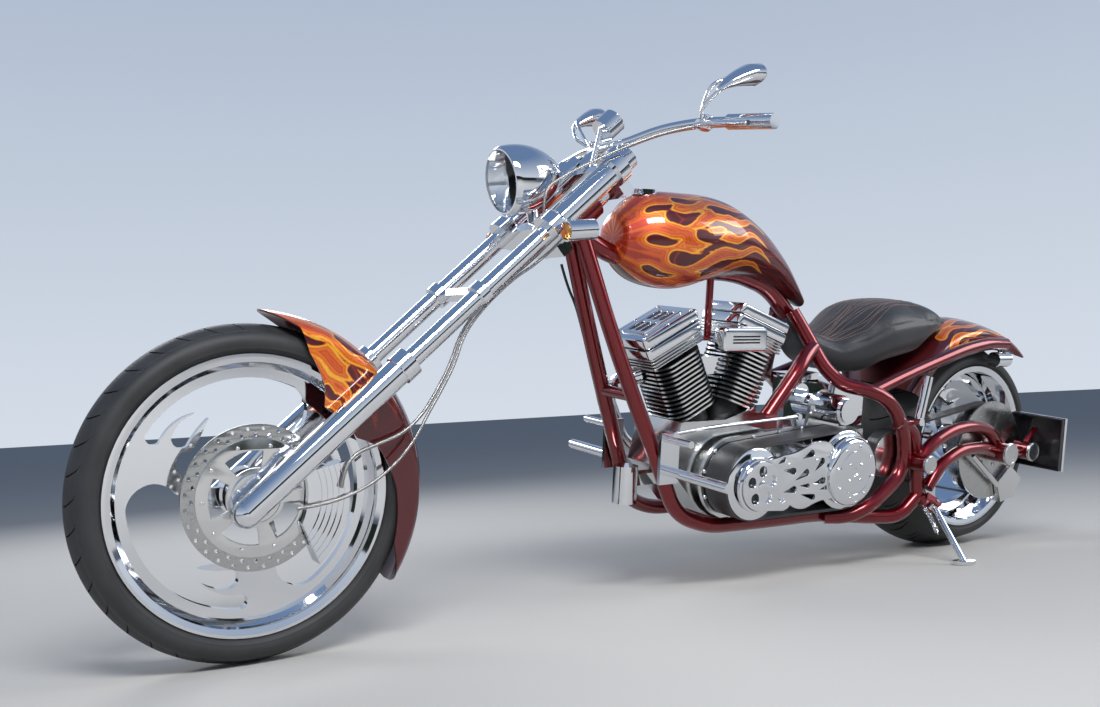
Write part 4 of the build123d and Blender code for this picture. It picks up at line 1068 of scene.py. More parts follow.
new_piece("pushrod_tubes", joined("pushrod_tubes", pushrods), "root", chrome)
RIGHT_CASE = LEANED @ axis_frame(mm(975, 0, 318), (0, -1, 0))
bolt_set("timing_case_bolts", "root", small_button, ring_spots(RIGHT_CASE, 68, 105.2, 10, 0.3)
         + ring_spots(RIGHT_CASE, 20, 110, 2, 0.3))
print("right side ready")

# %% [markdown]
# ## Plate box rim
# The black tray behind the rear wheel has a bright frame round its back edge.

# %% Plate box rim
tray_low, tray_high = (-176.5, 178, 281), (-151.5, 346, 439)


def tray_loop(x, grown):
    """The tray's outline at a place along the machine, as four corners, made larger by some millimetres."""
    (_, low_y, low_z), (_, high_y, high_z) = tray_low, tray_high
    return [LEANED @ mm(x, y, z) for y, z in (
        (low_y - grown, low_z - grown), (high_y + grown, low_z - grown),
        (high_y + grown, high_z + grown), (low_y - grown, high_z + grown))]


rim_mesh = ring_mesh("plate_box_rim", [tray_loop(x, grown) for x, grown in (
    (-176.4, -0.05), (-176.4, 1.8), (-166, 1.8), (-166, -0.05))], closed=True)
rim_piece = new_piece("plate_box_rim", rim_mesh, "root", chrome)
soft_edge = rim_piece.modifiers.new("edge", "BEVEL")
soft_edge.width, soft_edge.segments = 0.0006, 2
print("plate box rim ready")

# %% [markdown]
# ## Painted panels
# The tank and the two fenders are made anew as fine, even meshes, so that the gloss runs smoothly over
# them. The flames are my own layout of licks that run back from the front. A lick is a curve with a width
# at each point, and each vertex keeps how many millimetres it lies inside a lick. The paint turns that
# depth into a glowing edge.


# %% Flame layout
def curve(stroke, steps=6):
    """A smooth curve through a stroke's points, each (along, across, half width) in millimetres."""
    points = np.array(stroke, float)
    padded = np.vstack([points[:1], points, points[-1:]])
    t = np.linspace(0, 1, steps, endpoint=False)[:, None]
    spans = [0.5 * (2 * b + (c - a) * t + (2 * a - 5 * b + 4 * c - d) * t**2
                    + (3 * b - a - 3 * c + d) * t**3)
             for a, b, c, d in zip(padded, padded[1:], padded[2:], padded[3:])]
    return np.vstack(spans + [points[-1:]])


def depth_in(places, strokes, blend=2.5):
    """How far each place lies inside the nearest strokes, which melt into each other."""
    total = np.full(len(places), 1e-12)
    for stroke in strokes:
        line = curve(stroke)
        deepest = np.full(len(places), -100.0)
        for a, b in zip(line, line[1:]):
            way = b[:2] - a[:2]
            share = np.clip((places - a[:2]) @ way / max(way @ way, 1e-9), 0, 1)
            gap = np.linalg.norm(places - a[:2] - share[:, None] * way, axis=1)
            deepest = np.maximum(deepest, a[2] + share * (b[2] - a[2]) - gap)
        total += np.exp(np.clip(deepest / blend, -30, 30))
    return blend * np.log(total)


def set_flames(mesh, places, licks, drops, shift, only=None):
    """Writes both layers of flames to the mesh, from each vertex's place in the layout."""
    places = np.array(places, float)
    front = np.minimum(depth_in(places, licks), -depth_in(places, drops))
    back_licks = [[(a + shift[0], b + shift[1], w * 0.75) for a, b, w in lick] for lick in licks]
    back = depth_in(places, back_licks)
    if only is not None:
        front, back = np.where(only, front, -60.0), np.where(only, back, -60.0)
    for name, values in (("lick_depth", front), ("far_lick_depth", back)):
        mesh.attributes.new(name, "FLOAT", "POINT").data.foreach_set("value", values)


print("flame layout ready")

# %% Tank
tank_stations = np.array([(1310, 912, 62, 66), (1240, 916, 118, 112), (1130, 914, 140, 123),
                          (1000, 924, 130, 104),
                          (880, 902, 102, 76), (770, 852, 68, 48), (700, 801, 46, 31),
                          (655, 768, 28, 17)], float)
tank_licks = [
    [(1320, 250, 34), (1240, 262, 36), (1150, 292, 30), (1060, 300, 22), (990, 268, 15), (930, 262, 9),
     (880, 285, 4), (850, 300, 0.5)],
    [(1320, 215, 34), (1240, 215, 34), (1150, 240, 26), (1070, 225, 20), (1000, 232, 14), (940, 208, 10),
     (885, 222, 5), (850, 240, 0.5)],
    [(1320, 180, 34), (1240, 170, 34), (1160, 185, 24), (1090, 168, 18), (1020, 190, 12), (965, 165, 8),
     (915, 175, 4), (880, 190, 0.5)],
    [(1320, 140, 32), (1240, 125, 32), (1160, 135, 24), (1090, 118, 18), (1010, 140, 13), (950, 118, 8),
     (900, 128, 4), (860, 142, 0.5)],
    [(1320, 95, 30), (1240, 80, 30), (1160, 92, 22), (1085, 72, 16), (1010, 92, 11), (950, 74, 7),
     (905, 82, 3), (875, 92, 0.5)],
    [(1320, 40, 34), (1240, 30, 34), (1150, 42, 24), (1070, 25, 16), (1000, 42, 10), (950, 30, 5),
     (915, 38, 0.5)],
    [(1320, 310, 30), (1240, 320, 30), (1150, 338, 22), (1080, 330, 12), (1020, 345, 5), (990, 352, 0.5)],
]
tank_drops = [
    [(1268, 190, 15), (1235, 196, 10), (1205, 188, 0.5)],
    [(1222, 128, 16), (1190, 136, 15), (1150, 120, 5), (1125, 112, 0.5)],
    [(1212, 232, 17), (1175, 236, 16), (1135, 222, 6), (1105, 212, 0.5)],
    [(1150, 172, 14), (1115, 180, 11), (1080, 172, 3), (1060, 165, 0.5)],
    [(1190, 75, 12), (1150, 80, 9), (1110, 70, 0.5)], [(1262, 285, 13), (1225, 292, 10), (1190, 283, 0.5)],
    [(1105, 275, 12), (1070, 268, 8), (1035, 252, 0.5)], [(1262, 95, 12), (1230, 100, 8), (1205, 92, 0.5)],
    [(1080, 105, 10), (1050, 110, 7), (1025, 100, 0.5)],
]
tank_line = curve(tank_stations[:, :4].tolist(), 20)
front_end = [(tank_line[0][0] + out, tank_line[0][1], tank_line[0][2] * size, tank_line[0][3] * size)
             for out, size in ((9, 0.02), (9, 0.4), (8, 0.7), (5.5, 0.88), (2.5, 0.97))]
tail_end = [(tank_line[-1][0] - out, tank_line[-1][1] - out * 0.8, tank_line[-1][2] * size,
             tank_line[-1][3] * size)
            for out, size in ((4, 0.93), (8, 0.78), (11, 0.5), (12, 0.02))]
tank_rings = front_end + [tuple(row) for row in tank_line] + tail_end
around = 128
tank_points, tank_places = [], []
for x, middle, half_width, half_height in tank_rings:
    for n in range(around):
        angle = 2 * math.pi * n / around
        tank_points.append(LEANED @ mm(x, half_width * math.sin(angle),
                                       middle + half_height * math.cos(angle)))
        tank_places.append((x, min(angle, 2 * math.pi - angle) * 120))


def skin_faces(rings, count, wrap=True):
    """Quads between neighbouring rings of a grid, and the end caps of a wrapped one."""
    faces = [(r * count + n, r * count + (n + 1) % count, (r + 1) * count + (n + 1) % count,
              (r + 1) * count + n)
             for r in range(rings - 1) for n in range(count if wrap else count - 1)]
    if wrap:
        faces += [tuple(range(count)), tuple(range((rings - 1) * count, rings * count))]
    return faces


def skin(name, points, faces):
    """A smooth mesh with its normals turned outwards."""
    mesh = bpy.data.meshes.new(name)
    mesh.from_pydata([tuple(point) for point in points], [], faces)
    outward(mesh)
    smooth(mesh, 45)
    return mesh


tank_mesh = skin("painted_tank", tank_points, skin_faces(len(tank_rings), around))
set_flames(tank_mesh, tank_places, tank_licks, tank_drops, (-130, 20))
new_piece("painted_tank", tank_mesh, "root", flame_paint, ["tank"])
print("tank faces", len(tank_mesh.polygons))


# %% Fenders
def fender_line(radius, half, drop, low):
    """Half of a fender's section with a soft corner, as (y, radius) a millimetre apart."""
    crown = (half**2 + drop**2) / (2 * drop)
    turn = math.asin(half / crown)
    count = int(crown * turn)
    top = [(crown * math.sin(turn * n / count), radius - crown + crown * math.cos(turn * n / count))
           for n in range(count + 1)]
    side = [(half, radius - drop - step) for step in range(1, int(radius - drop - low) + 30)]
    line = np.array(top + side)
    whole = np.vstack([line[:0:-1] * (-1, 1), line])
    weights = np.exp(-0.5 * (np.arange(-20, 21) / 8.0) ** 2)
    weights /= weights.sum()
    soft = np.stack([np.convolve(whole[:, k], weights, "same") for k in (0, 1)], axis=1)
    return soft[len(line) - 1:-21], count


def fender(name, node, body, wheel, section, edge, corner_place, licks, drops, shift, sheet=4.0, step=1.6,
           across=72):
    """A sheet over a wheel whose lower edge follows (angle, radius), with flames from the layout."""
    (line, corner), (radius, half, drop) = fender_line(*section), section[:3]
    turned_angles, edge_radii = zip(*sorted((angle, reach) for reach, angle in edge))
    angles = np.linspace(turned_angles[0], turned_angles[-1],
                         int((turned_angles[-1] - turned_angles[0]) / step * 2) + 2)
    slope = np.gradient(line, axis=0)
    outward = np.stack([-slope[:, 1], slope[:, 0]], axis=1) / np.linalg.norm(slope, axis=1)[:, None]
    layers, places = ([], []), []
    for angle in angles:
        low = np.interp(angle, turned_angles, edge_radii)
        last = max(1.5, float(np.interp(-low, -line[:, 1], np.arange(len(line)))))
        for n in range(across + 1):
            s = last * (2 * n / across - 1)
            y, reach = (np.interp(abs(s), np.arange(len(line)), line[:, k]) for k in (0, 1))
            out_y, out_r = (np.interp(abs(s), np.arange(len(line)), outward[:, k]) for k in (0, 1))
            for layer, inset in zip(layers, (0, sheet)):
                yy, rr = (y - inset * out_y) * (1 if s >= 0 else -1), reach - inset * out_r
                a = math.radians(angle)
                layer.append(wheel @ mm(-rr * math.cos(a), yy, rr * math.sin(a)))
            places.append((*corner_place(angle), abs(s) - corner))
    count, rows = across + 1, len(angles)
    outer = skin_faces(rows, count, wrap=False)
    faces = outer + [tuple(v + rows * count for v in reversed(face)) for face in outer]
    rim = ([n for n in range(count)] + [r * count + across for r in range(1, rows)]
           + [(rows - 1) * count + n for n in range(across - 1, -1, -1)] + [r * count
                                                                            for r in range(rows - 2, 0,
                                                                                           -1)])
    faces += [(a, b, b + rows * count, a + rows * count) for a, b in zip(rim, rim[1:] + rim[:1])]
    mesh = skin(name, layers[0] + layers[1], faces)
    places = np.array(places + places, float)
    set_flames(mesh, places, licks, drops, shift, np.arange(len(places)) < rows * count)
    made = new_piece(name, mesh, body, flame_paint, [node])
    print(name, "faces", len(mesh.polygons))
    return made


front_licks = [
    [(-10, -60, 22), (60, -40, 22), (140, -50, 16), (220, -34, 14), (290, -46, 8), (330, -40, 0.5)],
    [(-10, -15, 24), (60, -5, 24), (140, -12, 18), (210, 6, 16), (290, -10, 9), (335, -4, 0.5)],
    [(-10, 20, 24), (60, 35, 24), (130, 28, 20), (200, 46, 18), (270, 34, 12), (330, 48, 0.5)],
    [(60, 70, 20), (130, 66, 20), (190, 84, 18), (250, 74, 14), (315, 92, 0.5)],
    [(150, 105, 18), (200, 120, 18), (260, 108, 12), (320, 125, 0.5)],
    [(-10, -74, 20), (80, -74, 18), (180, -74, 12), (260, -74, 0.5)],
]
front_drops = [
    [(70, 15, 7), (110, 22, 6), (150, 10, 0.5)], [(165, -18, 9), (205, -10, 12), (245, -20, 0.5)],
    [(228, 30, 10), (262, 36, 9), (292, 26, 0.5)], [(200, 95, 10), (235, 100, 7), (262, 90, 0.5)],
    [(90, -45, 6), (130, -38, 6), (165, -48, 0.5)],
]
rear_licks = [
    [(0, 10, 14), (60, -10, 12), (120, 5, 8), (190, -12, 6), (260, -2, 3), (320, -14, 0.5)],
    [(0, -40, 16), (70, -55, 12), (140, -38, 8), (210, -52, 5), (280, -42, 0.5)],
    [(0, -95, 18), (80, -80, 14), (160, -98, 9), (240, -84, 5), (320, -95, 0.5)],
    [(0, -150, 18), (90, -140, 14), (180, -152, 8), (270, -146, 0.5)],
    [(-20, 20, 12), (40, 25, 6), (90, 18, 0.5)],
]
front_edge = [(380.4, 86), (356, 75), (311, 69), (264, 57), (228, 51), (241, 27), (276, 19), (303, 0),
              (322, -22), (355, -31), (380, -34.5)]
rear_edge = [(388, 47), (368, 48.5), (345, 52), (330, 58), (325, 66), (325, 150)]
fender("painted_front_fender", "front_fender", "steering", FRONT_WHEEL, (381, 74, 26, 228), front_edge,
       lambda angle: ((86 - angle) * 6.65,), front_licks, front_drops, (70, 22))
fender("painted_rear_fender", "rear_fender", "root", REAR_WHEEL, (390, 159, 34, 325), rear_edge,
       lambda angle: ((115 - angle) * 6.8,), rear_licks, [], (60, 20), across=96)
bosses = []
for side in (1, -1):
    for at in (250, 320):
        bosses.append(spun("fender_boss", [(68, 0), (68, 11), (86, 11), (86, 0)],
                           STEERED @ FORK @ Matrix.Translation(mm(0, 0, at)) @ Matrix.Diagonal((1, side,
                                                                                                1, 1)), 24))
boss_mesh = joined("fender_bosses", bosses)
smooth(boss_mesh, 40)
new_piece("fender_bosses", boss_mesh, "steering", chrome)
print("painted panels ready")

# %% [markdown]
# ## Open primary drive
# The belt drive is the showpiece of the left side. A flat cover with flame-shaped openings ties the
# crank's cap to the clutch's dome, and the belt shows behind it. The cover is a flat curve with holes,
# given a thickness and a soft edge. The cap has five windows, and the black disc behind them is painted
# shade that stands for the dark hollow inside the cap.


# %% Drive cover, crank cap and clutch dome
def round_loop(x, y, radius, count=32):
    return [(x + radius * math.cos(2 * math.pi * n / count),
             y + radius * math.sin(2 * math.pi * n / count)) for n in range(count)]


def drop_loop(middle, radius, tip, count=20):
    """A round end that runs out to a tip."""
    (mx, my), (tx, ty) = middle, tip
    reach = math.hypot(tx - mx, ty - my)
    heading, open_by = math.atan2(ty - my, tx - mx), math.acos(radius / reach)
    turns = [heading + open_by + (2 * math.pi - 2 * open_by) * n / count for n in range(count + 1)]
    return [(tx, ty)] + [(mx + radius * math.cos(a), my + radius * math.sin(a)) for a in turns]


def flat_plate(name, loops, thickness, edge, drawing):
    """A plate in the drawing's XY plane, from its outline and then its openings, in millimetres."""
    data = bpy.data.curves.new(name, "CURVE")
    data.dimensions, data.fill_mode = "2D", "BOTH"
    data.extrude = (thickness / 2 - edge) / 1000
    data.bevel_depth, data.offset, data.bevel_resolution = edge / 1000, -edge / 1000, 2
    for loop in loops:
        spline = data.splines.new("POLY")
        spline.points.add(len(loop) - 1)
        spline.use_cyclic_u = True
        for point, (x, y) in zip(spline.points, loop):
            point.co = (x / 1000, y / 1000, 0, 1)
    holder = bpy.data.objects.new(name, data)
    bpy.context.scene.collection.objects.link(holder)
    bpy.context.view_layer.update()
    mesh = bpy.data.meshes.new_from_object(holder.evaluated_get(bpy.context.evaluated_depsgraph_get()))
    bpy.data.objects.remove(holder)
    outward(mesh, weld=0.000005)
    mesh.transform(drawing)
    smooth(mesh, 28)
    return mesh


def left_face(x, y, z):
    """A frame at an upright point, with X to the rear, Y up and Z out of the left side."""
    return LEANED @ Matrix.Translation(mm(x, y, z)) @ Matrix(((-1, 0, 0), (0, 0, 1),
                                                              (0, 1, 0))).transposed().to_4x4()


cover_edge = (arc_points((10, 66), (45, 66), (80, 73), 6) + arc_points((80, 73), (124, 78), (166, 91),
                                                                       9)[1:]
              + arc_points((166, 91), (205, 102), (250, 96), 9)[1:] + [(300, 60), (300, -50)]
              + arc_points((262, -58), (222, -60), (185, -70), 9) + arc_points((185, -70), (150, -74),
                                                                               (113, -60), 9)[1:]
              + arc_points((113, -60), (100, -70), (80, -72), 6)[1:] + [(10, -66)])
cover_openings = [((82, 62), 6, (60, 52)), ((119, 29), 9, (82, 34)), ((184, 72), 9, (150, 60)),
                  ((226, 48), 9, (200, 24)),
                  ((233, -4), 9, (196, -10)), ((124, -20), 9, (86, -24)), ((198, -46), 8, (152, -36)),
                  ((250, -24), 6, (222, -28)), ((84, -46), 5, (66, -38)), ((168, 22), 9, (128, 4)),
                  ((176, -14), 6, (146, -12))]
cover = flat_plate("drive_cover", [cover_edge] + [drop_loop(*opening) for opening in cover_openings], 8,
                   1.2, left_face(975, 216, 305))
rings = [spun("cover_ring", [(211, 64.3), (211, 72), (220, 72), (221.5, 70.5), (221.5, 65.5),
                             (220, 64.3)], CRANK, 72, closed=True),
         spun("cover_ring", [(211, 92.3), (211, 98), (220, 98), (221.5, 96.5), (221.5, 93.5),
                             (220, 92.3)], CLUTCH, 96, closed=True)]
for ring in rings:
    smooth(ring, 40)
new_piece("drive_cover", joined("drive_cover", [cover] + rings), "root", chrome,
          ["primary_cover"])
stand_offs = [spun("cover_post", [(116, 0), (116, 8), (212.5, 8), (212.5, 0)],
                   LEANED @ Matrix.Translation(mm(x, 0, z)), 20)
              for x, z in ((885, 255), (875, 353), (735, 383))]
crank_pulley = spun("crank_pulley", [(116, 0), (116, 88.7), (118, 93), (119.5, 93), (119.5, 88.7),
                                     (196.5, 88.7), (196.5, 93), (199, 93),
                                     (202, 88), (202, 0)], CRANK, 72)
clutch_pulley = spun("clutch_pulley", [(116, 0), (116, 103.7), (196.5, 103.7), (196.5, 108), (199, 108),
                                       (202, 103), (202, 0)], CLUTCH, 72)
dome = spun("clutch_dome", [(202, 0), (202, 92), (225, 92), (229, 91), (233, 87.5), (235.6, 82),
                            (236, 79), (236, 62), (235, 61), (235, 58),
                            (236, 57), (236, 12), (233, 10), (233, 0)], CLUTCH, 96)
drive = joined("drive_pulleys", [crank_pulley, clutch_pulley, dome] + stand_offs)
smooth(drive, 35)
new_piece("drive_pulleys", drive, "root", chrome, ["primary_pulleys"])
# Painted shade: a black disc behind the cap's windows stands for the dark inside of the cap
hollow = spun("crank_hollow", [(202, 0), (202, 60), (217, 60), (217, 0)], CRANK, 48)
new_piece("crank_hollow", hollow, "root", black_metal)
windows = [round_loop(38 * math.cos(a), 38 * math.sin(a), 13.5)
           for a in (math.radians(18 + 72 * n) for n in range(5))]
cap_plate = flat_plate("crank_cap", [round_loop(0, 0, 64, 72)] + windows, 12, 1.8, left_face(975, 222, 305))
nut = spun("crank_nut", [(226, 0), (226, 15), (230, 14), (231.5, 11), (231.5, 0)], CRANK, 32)
smooth(nut, 35)
new_piece("crank_cap", joined("crank_cap", [cap_plate, nut]), "root", chrome)
bolt_set("clutch_dome_bolts", "root", small_button, ring_spots(CLUTCH, 71, 235.8, 8, 0.2)
         + ring_spots(CLUTCH, 30, 235.8, 4, 0.8))
print("drive ready")

# %% [markdown]
# ## Axle caps and plate tray
# Polished caps close the swingarm's pivot and the rear axle. The black tray for the plate hangs behind
# the wheel on two red bars.

# %% Axle caps and plate tray
caps, cap_foot = [], 279
for x, z, radius, sides in ((380, 328, 26, (1, -1)), (0, 333, 33, (1, -1)), (-114, 333, 29, (1,))):
    for side in sides:
        outline = [(cap_foot, 0), (cap_foot, radius), (cap_foot + 6, radius),
                   (cap_foot + 8.5, radius - 2.5),
                   (cap_foot + 8.5, radius - 6), (cap_foot + 7.6, radius - 7), (cap_foot + 7.6, 0)]
        drawing = LEANED @ Matrix.Translation(mm(x, 0, z)) @ Matrix.Diagonal((1, side, 1, 1))
        caps.append(spun("axle_cap", outline, drawing, 56))
cap_mesh = joined("axle_caps", caps)
smooth(cap_mesh, 35)
new_piece("axle_caps", cap_mesh, "root", satin_alloy)
tray_wall = 5
tray_mesh = ring_mesh("plate_tray", [tray_loop(x, grown) for x, grown in (
    (tray_low[0], 0), (tray_high[0], 0), (tray_high[0], -tray_wall),
    (tray_low[0] + tray_wall, -tray_wall))],
    closed=False)
new_piece("plate_tray", tray_mesh, "root", black_metal, ["plate_holder"])
holder_bars = [tube("plate_bar", [(-20, 255, 333), (-114, 255, 333)], 14, LEANED, 20, 2),
               spun("plate_boss", [(225, 0), (225, 27), (276, 27), (276, 0)],
                    LEANED @ Matrix.Translation(mm(-114, 0, 333)), 40),
               tube("plate_bar", [(-114, 250, 341), (-140, 250, 372), (-168, 248, 392)], 10, LEANED, 18, 6),
               tube("plate_bar", [(-114, 262, 330), (-140, 262, 322), (-168, 262, 322)], 10, LEANED, 18, 6)]
bar_mesh = joined("plate_bars", holder_bars)
smooth(bar_mesh, 35)
new_piece("plate_bars", bar_mesh, "root", candy_red)
print("tail ready")

# %% [markdown]
# ## Mirrors and levers
# Small swept mirrors stand on two thin arms each. Each side also has a tapered lever, a turned master
# cylinder and a clamp.


# %% Mirrors
def lofted(name, sections, count, drawing):
    """A closed skin over ellipses, given as (x, y, z, half width, half height) across the X axis."""
    points = [drawing @ mm(x, y + a * math.cos(t), z + b * math.sin(t)) for x, y, z, a, b in sections
              for t in (2 * math.pi * n / count for n in range(count))]
    return skin(name, points, skin_faces(len(sections), count))


mirror_parts = []
for side in (1, -1):
    shell = [(-288, 325, 329, 40, 20), (-288, 325, 329, 45, 24), (-284, 325, 329, 47, 26),
             (-262, 322, 327, 44, 24), (-240, 317, 318, 34, 19),
             (-215, 312, 305, 21, 13), (-200, 309, 292, 10, 7), (-197, 309, 290, 2, 2)]
    mirror_parts.append(lofted("mirror", [(head_middle.x + x, side * y, head_middle.z + z, a, b) for x, y,
                                          z, a, b in shell], 40, STEERED))
    for arm in (((-208, 311, 294), (-196, 300, 281), (-186, 270, 255), (-203, 240, 230)),
                ((-240, 314, 322), (-199, 288, 304), (-197, 256, 262), (-206, 238, 230))):
        mirror_parts.append(tube("mirror_arm", [head_middle + Vector((x, side * y, z)) for x, y,
                                                z in arm], 4.6, STEERED, 12, 8))
for side in (1, -1):
    lever = [head_middle + Vector((x, side * y, z)) for x, y,
             z in ((-196, 226, 222), (-203, 262, 222), (-205, 300, 217), (-212, 395, 205))]
    mirror_parts.append(tube("lever", lever, 5.6, STEERED, 12, 8,
                             lambda t: 0.8 + 0.35 * math.sin(math.pi * t) + 0.3 * (t > 0.97)))
    place = head_middle + Vector((-220, side * 236, 227))
    pot = [(-16, 0), (-16, 13), (-14, 15), (12, 15), (12, 16.5), (15, 16.5), (16.5, 15), (16.5, 0)]
    mirror_parts.append(spun("master_cylinder", pot, STEERED @ axis_frame(place / 1000, (-0.25, 0, 1)), 32))
    mirror_parts.append(tube("lever_clamp", [place + Vector((-16, 0, 0)), place + Vector((22, 0, -4))],
                             12, STEERED, 20, 2))
controls = joined("mirrors_and_levers", mirror_parts)
smooth(controls, 40)
new_piece("mirrors_and_levers", controls, "steering", chrome, ["hand_controls"])
print("mirrors ready")

# %% [markdown]
# ## Seat
# The seat is foam under leather, so it starts as a plain skin over cross sections, is made even with a
# voxel remesh, and is blown up a little as cloth. Only the crown moves, and no point by more than a few
# millimetres, so that it stays where the CAD has it. The embroidery of flame lines is made of small
# stitches that are laid on the leather.

# %% Seat
seat_sections = [(706, 731, 700, 36), (640, 690, 612, 70), (560, 668, 574, 102), (480, 714, 566, 132),
                 (400, 762, 592, 148),
                 (300, 772, 612, 150), (210, 764, 630, 147), (128, 722, 665, 118)]
seat_line = curve(seat_sections, 9)
seat_line[0, 0] -= 2
seat_points, seat_around = [], 64
ends = [(seat_line[0], 3, 0.55), (seat_line[0], 1.2, 0.85)], [(seat_line[-1], -1.5, 0.9),
                                                              (seat_line[-1], -4.5, 0.6)]
stations = [(row[0] + ahead, *row[1:], size) for row, ahead, size in ends[0]] + [(*row, 1.0)
                                                                                 for row in seat_line] \
    + [(row[0] + ahead, *row[1:], size) for row, ahead, size in ends[1]]
for x, top, underside, half_width, size in stations:
    fender_top = rear_radius * 1000 + math.sqrt(max(0, 392.5**2 - x * x)) if abs(x) < 392 else 0
    underside = min(max(underside, fender_top), top - 9)
    middle, half_width = (top + underside) / 2, half_width * (0.6 + 0.4 * size)
    top, underside = middle + (top - middle) * size, middle + (underside - middle) * size
    for n in range(seat_around):
        turn = 2 * math.pi * n / seat_around
        across, up = math.sin(turn), math.cos(turn)
        if up >= 0:
            y = half_width * math.copysign(abs(across) ** 0.75, across)
            z = underside + (top - underside) * (0.5 + 0.5 * up ** 0.9)
        else:
            y = half_width * math.copysign(abs(across) ** 0.45, across) * (0.90 + 0.10 * (1 + up))
            z = underside + (top - underside) * (0.5 - 0.5 * (-up) ** 0.6)
        seat_points.append(LEANED @ mm(x, y, z))
seat_blank = skin("seat_blank", seat_points, skin_faces(len(stations), seat_around))
seat_object = bpy.data.objects.new("seat_blank", seat_blank)
bpy.context.scene.collection.objects.link(seat_object)
remesh = seat_object.modifiers.new("even", "REMESH")
remesh.mode, remesh.voxel_size = "VOXEL", 0.006
evening = seat_object.modifiers.new("even_out", "SMOOTH")
evening.factor, evening.iterations = 0.5, 6
bpy.context.view_layer.update()
cushion = bpy.data.meshes.new_from_object(seat_object.evaluated_get(bpy.context.evaluated_depsgraph_get()))
bpy.data.objects.remove(seat_object)
before = np.empty(len(cushion.vertices) * 3, np.float32)
cushion.vertices.foreach_get("co", before)
before = before.reshape(-1, 3)
back_matrix = np.array(LEANED.inverted())
upright_places = (before @ back_matrix[:3, :3].T + back_matrix[:3, 3]) * 1000
table = np.array(sorted(seat_sections))
tops, lows, widths = (np.interp(upright_places[:, 0], table[:, 0], table[:, k]) for k in (1, 2, 3))
height_share = np.clip((upright_places[:, 2] - lows) / (tops - lows), 0, 1)
free = np.clip((height_share - 0.45) / 0.25, 0, 1)
cloth_object = bpy.data.objects.new("seat_cloth", cushion.copy())
bpy.context.scene.collection.objects.link(cloth_object)
held = cloth_object.vertex_groups.new(name="held")
for index, share in enumerate(1 - free):
    held.add([index], float(share), "REPLACE")
cloth = cloth_object.modifiers.new("cloth", "CLOTH")
cloth.settings.vertex_group_mass = "held"
cloth.settings.use_pressure, cloth.settings.uniform_pressure_force = True, 4.0
cloth.settings.effector_weights.gravity = 0.0
cloth.settings.tension_stiffness, cloth.settings.bending_stiffness = 12, 0.5
scene = bpy.context.scene
scene.frame_start, scene.frame_end = 1, 20
cloth.point_cache.frame_start, cloth.point_cache.frame_end = 1, 20
for step in range(1, 21):
    scene.frame_set(step)
padded = cloth_object.evaluated_get(bpy.context.evaluated_depsgraph_get())
blown = bpy.data.meshes.new_from_object(padded)
after = np.empty(len(blown.vertices) * 3, np.float32)
blown.vertices.foreach_get("co", after)
scene.frame_set(1)
bpy.data.objects.remove(cloth_object)
moved = after.reshape(-1, 3) - before
length = np.linalg.norm(moved, axis=1, keepdims=True)
moved *= np.minimum(1, 0.005 / np.maximum(length, 1e-6)) * free[:, None]
print("cloth moved at most", round(float(length.max()), 4), "m")
# a soft channel along the seam between the crown and the side band
seam = 0.66
channel = np.exp(-((height_share - seam) * (tops - lows) / 5.0) ** 2)
channel = channel * (upright_places[:, 0] < 640) * (upright_places[:, 0] > 150)
sideways = np.zeros_like(before)
sideways[:, 1] = np.sign(upright_places[:, 1])
inward = (sideways @ np.array(LEANED)[:3, :3].T)
final = before + moved - inward * (channel * 0.0035)[:, None]
cushion.vertices.foreach_set("co", final.astype(np.float32).ravel())
smooth(cushion, 60)
cushion_piece = new_piece("seat_cushion", cushion, "root", black_leather, ["seat"])
fine = cushion_piece.modifiers.new("fine", "SUBSURF")
fine.levels = fine.render_levels = 1
print("seat faces", len(cushion.polygons))

# %% Embroidery
leather = BVHTree.FromPolygons([tuple(p) for p in final],
                               [tuple(face.vertices) for face in cushion.polygons])
stitch = bpy.data.meshes.new("stitch")
stitch_shape = bmesh.new()
bmesh.ops.create_icosphere(stitch_shape, subdivisions=1, radius=1.0,
                           matrix=Matrix.Diagonal((0.0042, 0.0011, 0.0008, 1)))
stitch_shape.to_mesh(stitch)
stitch_shape.free()
down = LEANED.to_3x3() @ Vector((0, 0, -1))


def laid(path, spacing):
    """Stitches along a line of (x, y) that is dropped on the leather."""
    hits = []
    for x, y in path:
        place, normal, _, _ = leather.ray_cast(LEANED @ mm(x, y, 900), down)
        if place is not None:
            hits.append((place, normal))
    spots, run = [], 0.0
    for (here, normal), (there, _) in zip(hits, hits[1:]):
        step = there - here
        if step.length < 1e-6 or step.length > 0.03:
            continue
        run += step.length
        if run >= spacing:
            run = 0.0
            spots.append((here + normal * 0.0003, normal,
                          (step.normalized() + 0.18 * normal.cross(step.normalized())).normalized()))
    return spots


stitches = []
for k in range(-5, 6):
    for edge in (-1, 1):
        tip_x = 190 + 55 * ((k * 2) % 3)
        path = []
        for n in range(240):
            t = n / 239
            x = 600 + (tip_x - 600) * t
            sway = 15 * math.sin(2 * math.pi * (1.15 * t + 0.17 * k)) * min(1, 3 * t)
            open_by = 9.5 * (1 - t) ** 0.7 * (1 + 0.45 * math.sin(2 * math.pi * (1.6 * t + 0.3 * k)))
            room = np.interp(x, table[:, 0], table[:, 3]) / 150
            path.append((x, (24 * k + sway + edge * open_by) * room * 0.86))
        stitches += laid(path, 0.0072)
embroidery = placed("seat_embroidery", stitch, stitches, thread)
smooth(embroidery, 60)
new_piece("seat_embroidery", embroidery, "root", thread)
print("stitches", len(stitches))

# %% [markdown]
# ## Rocker boxes, coil cover and front brake disc
# The rocker boxes are stacks of rounded plates on each cylinder's own axis: a finned head, a lower box, a
# gap and a lid with a dark inset. The front brake has one drilled disc, on the left, held by a bolted
# carrier.


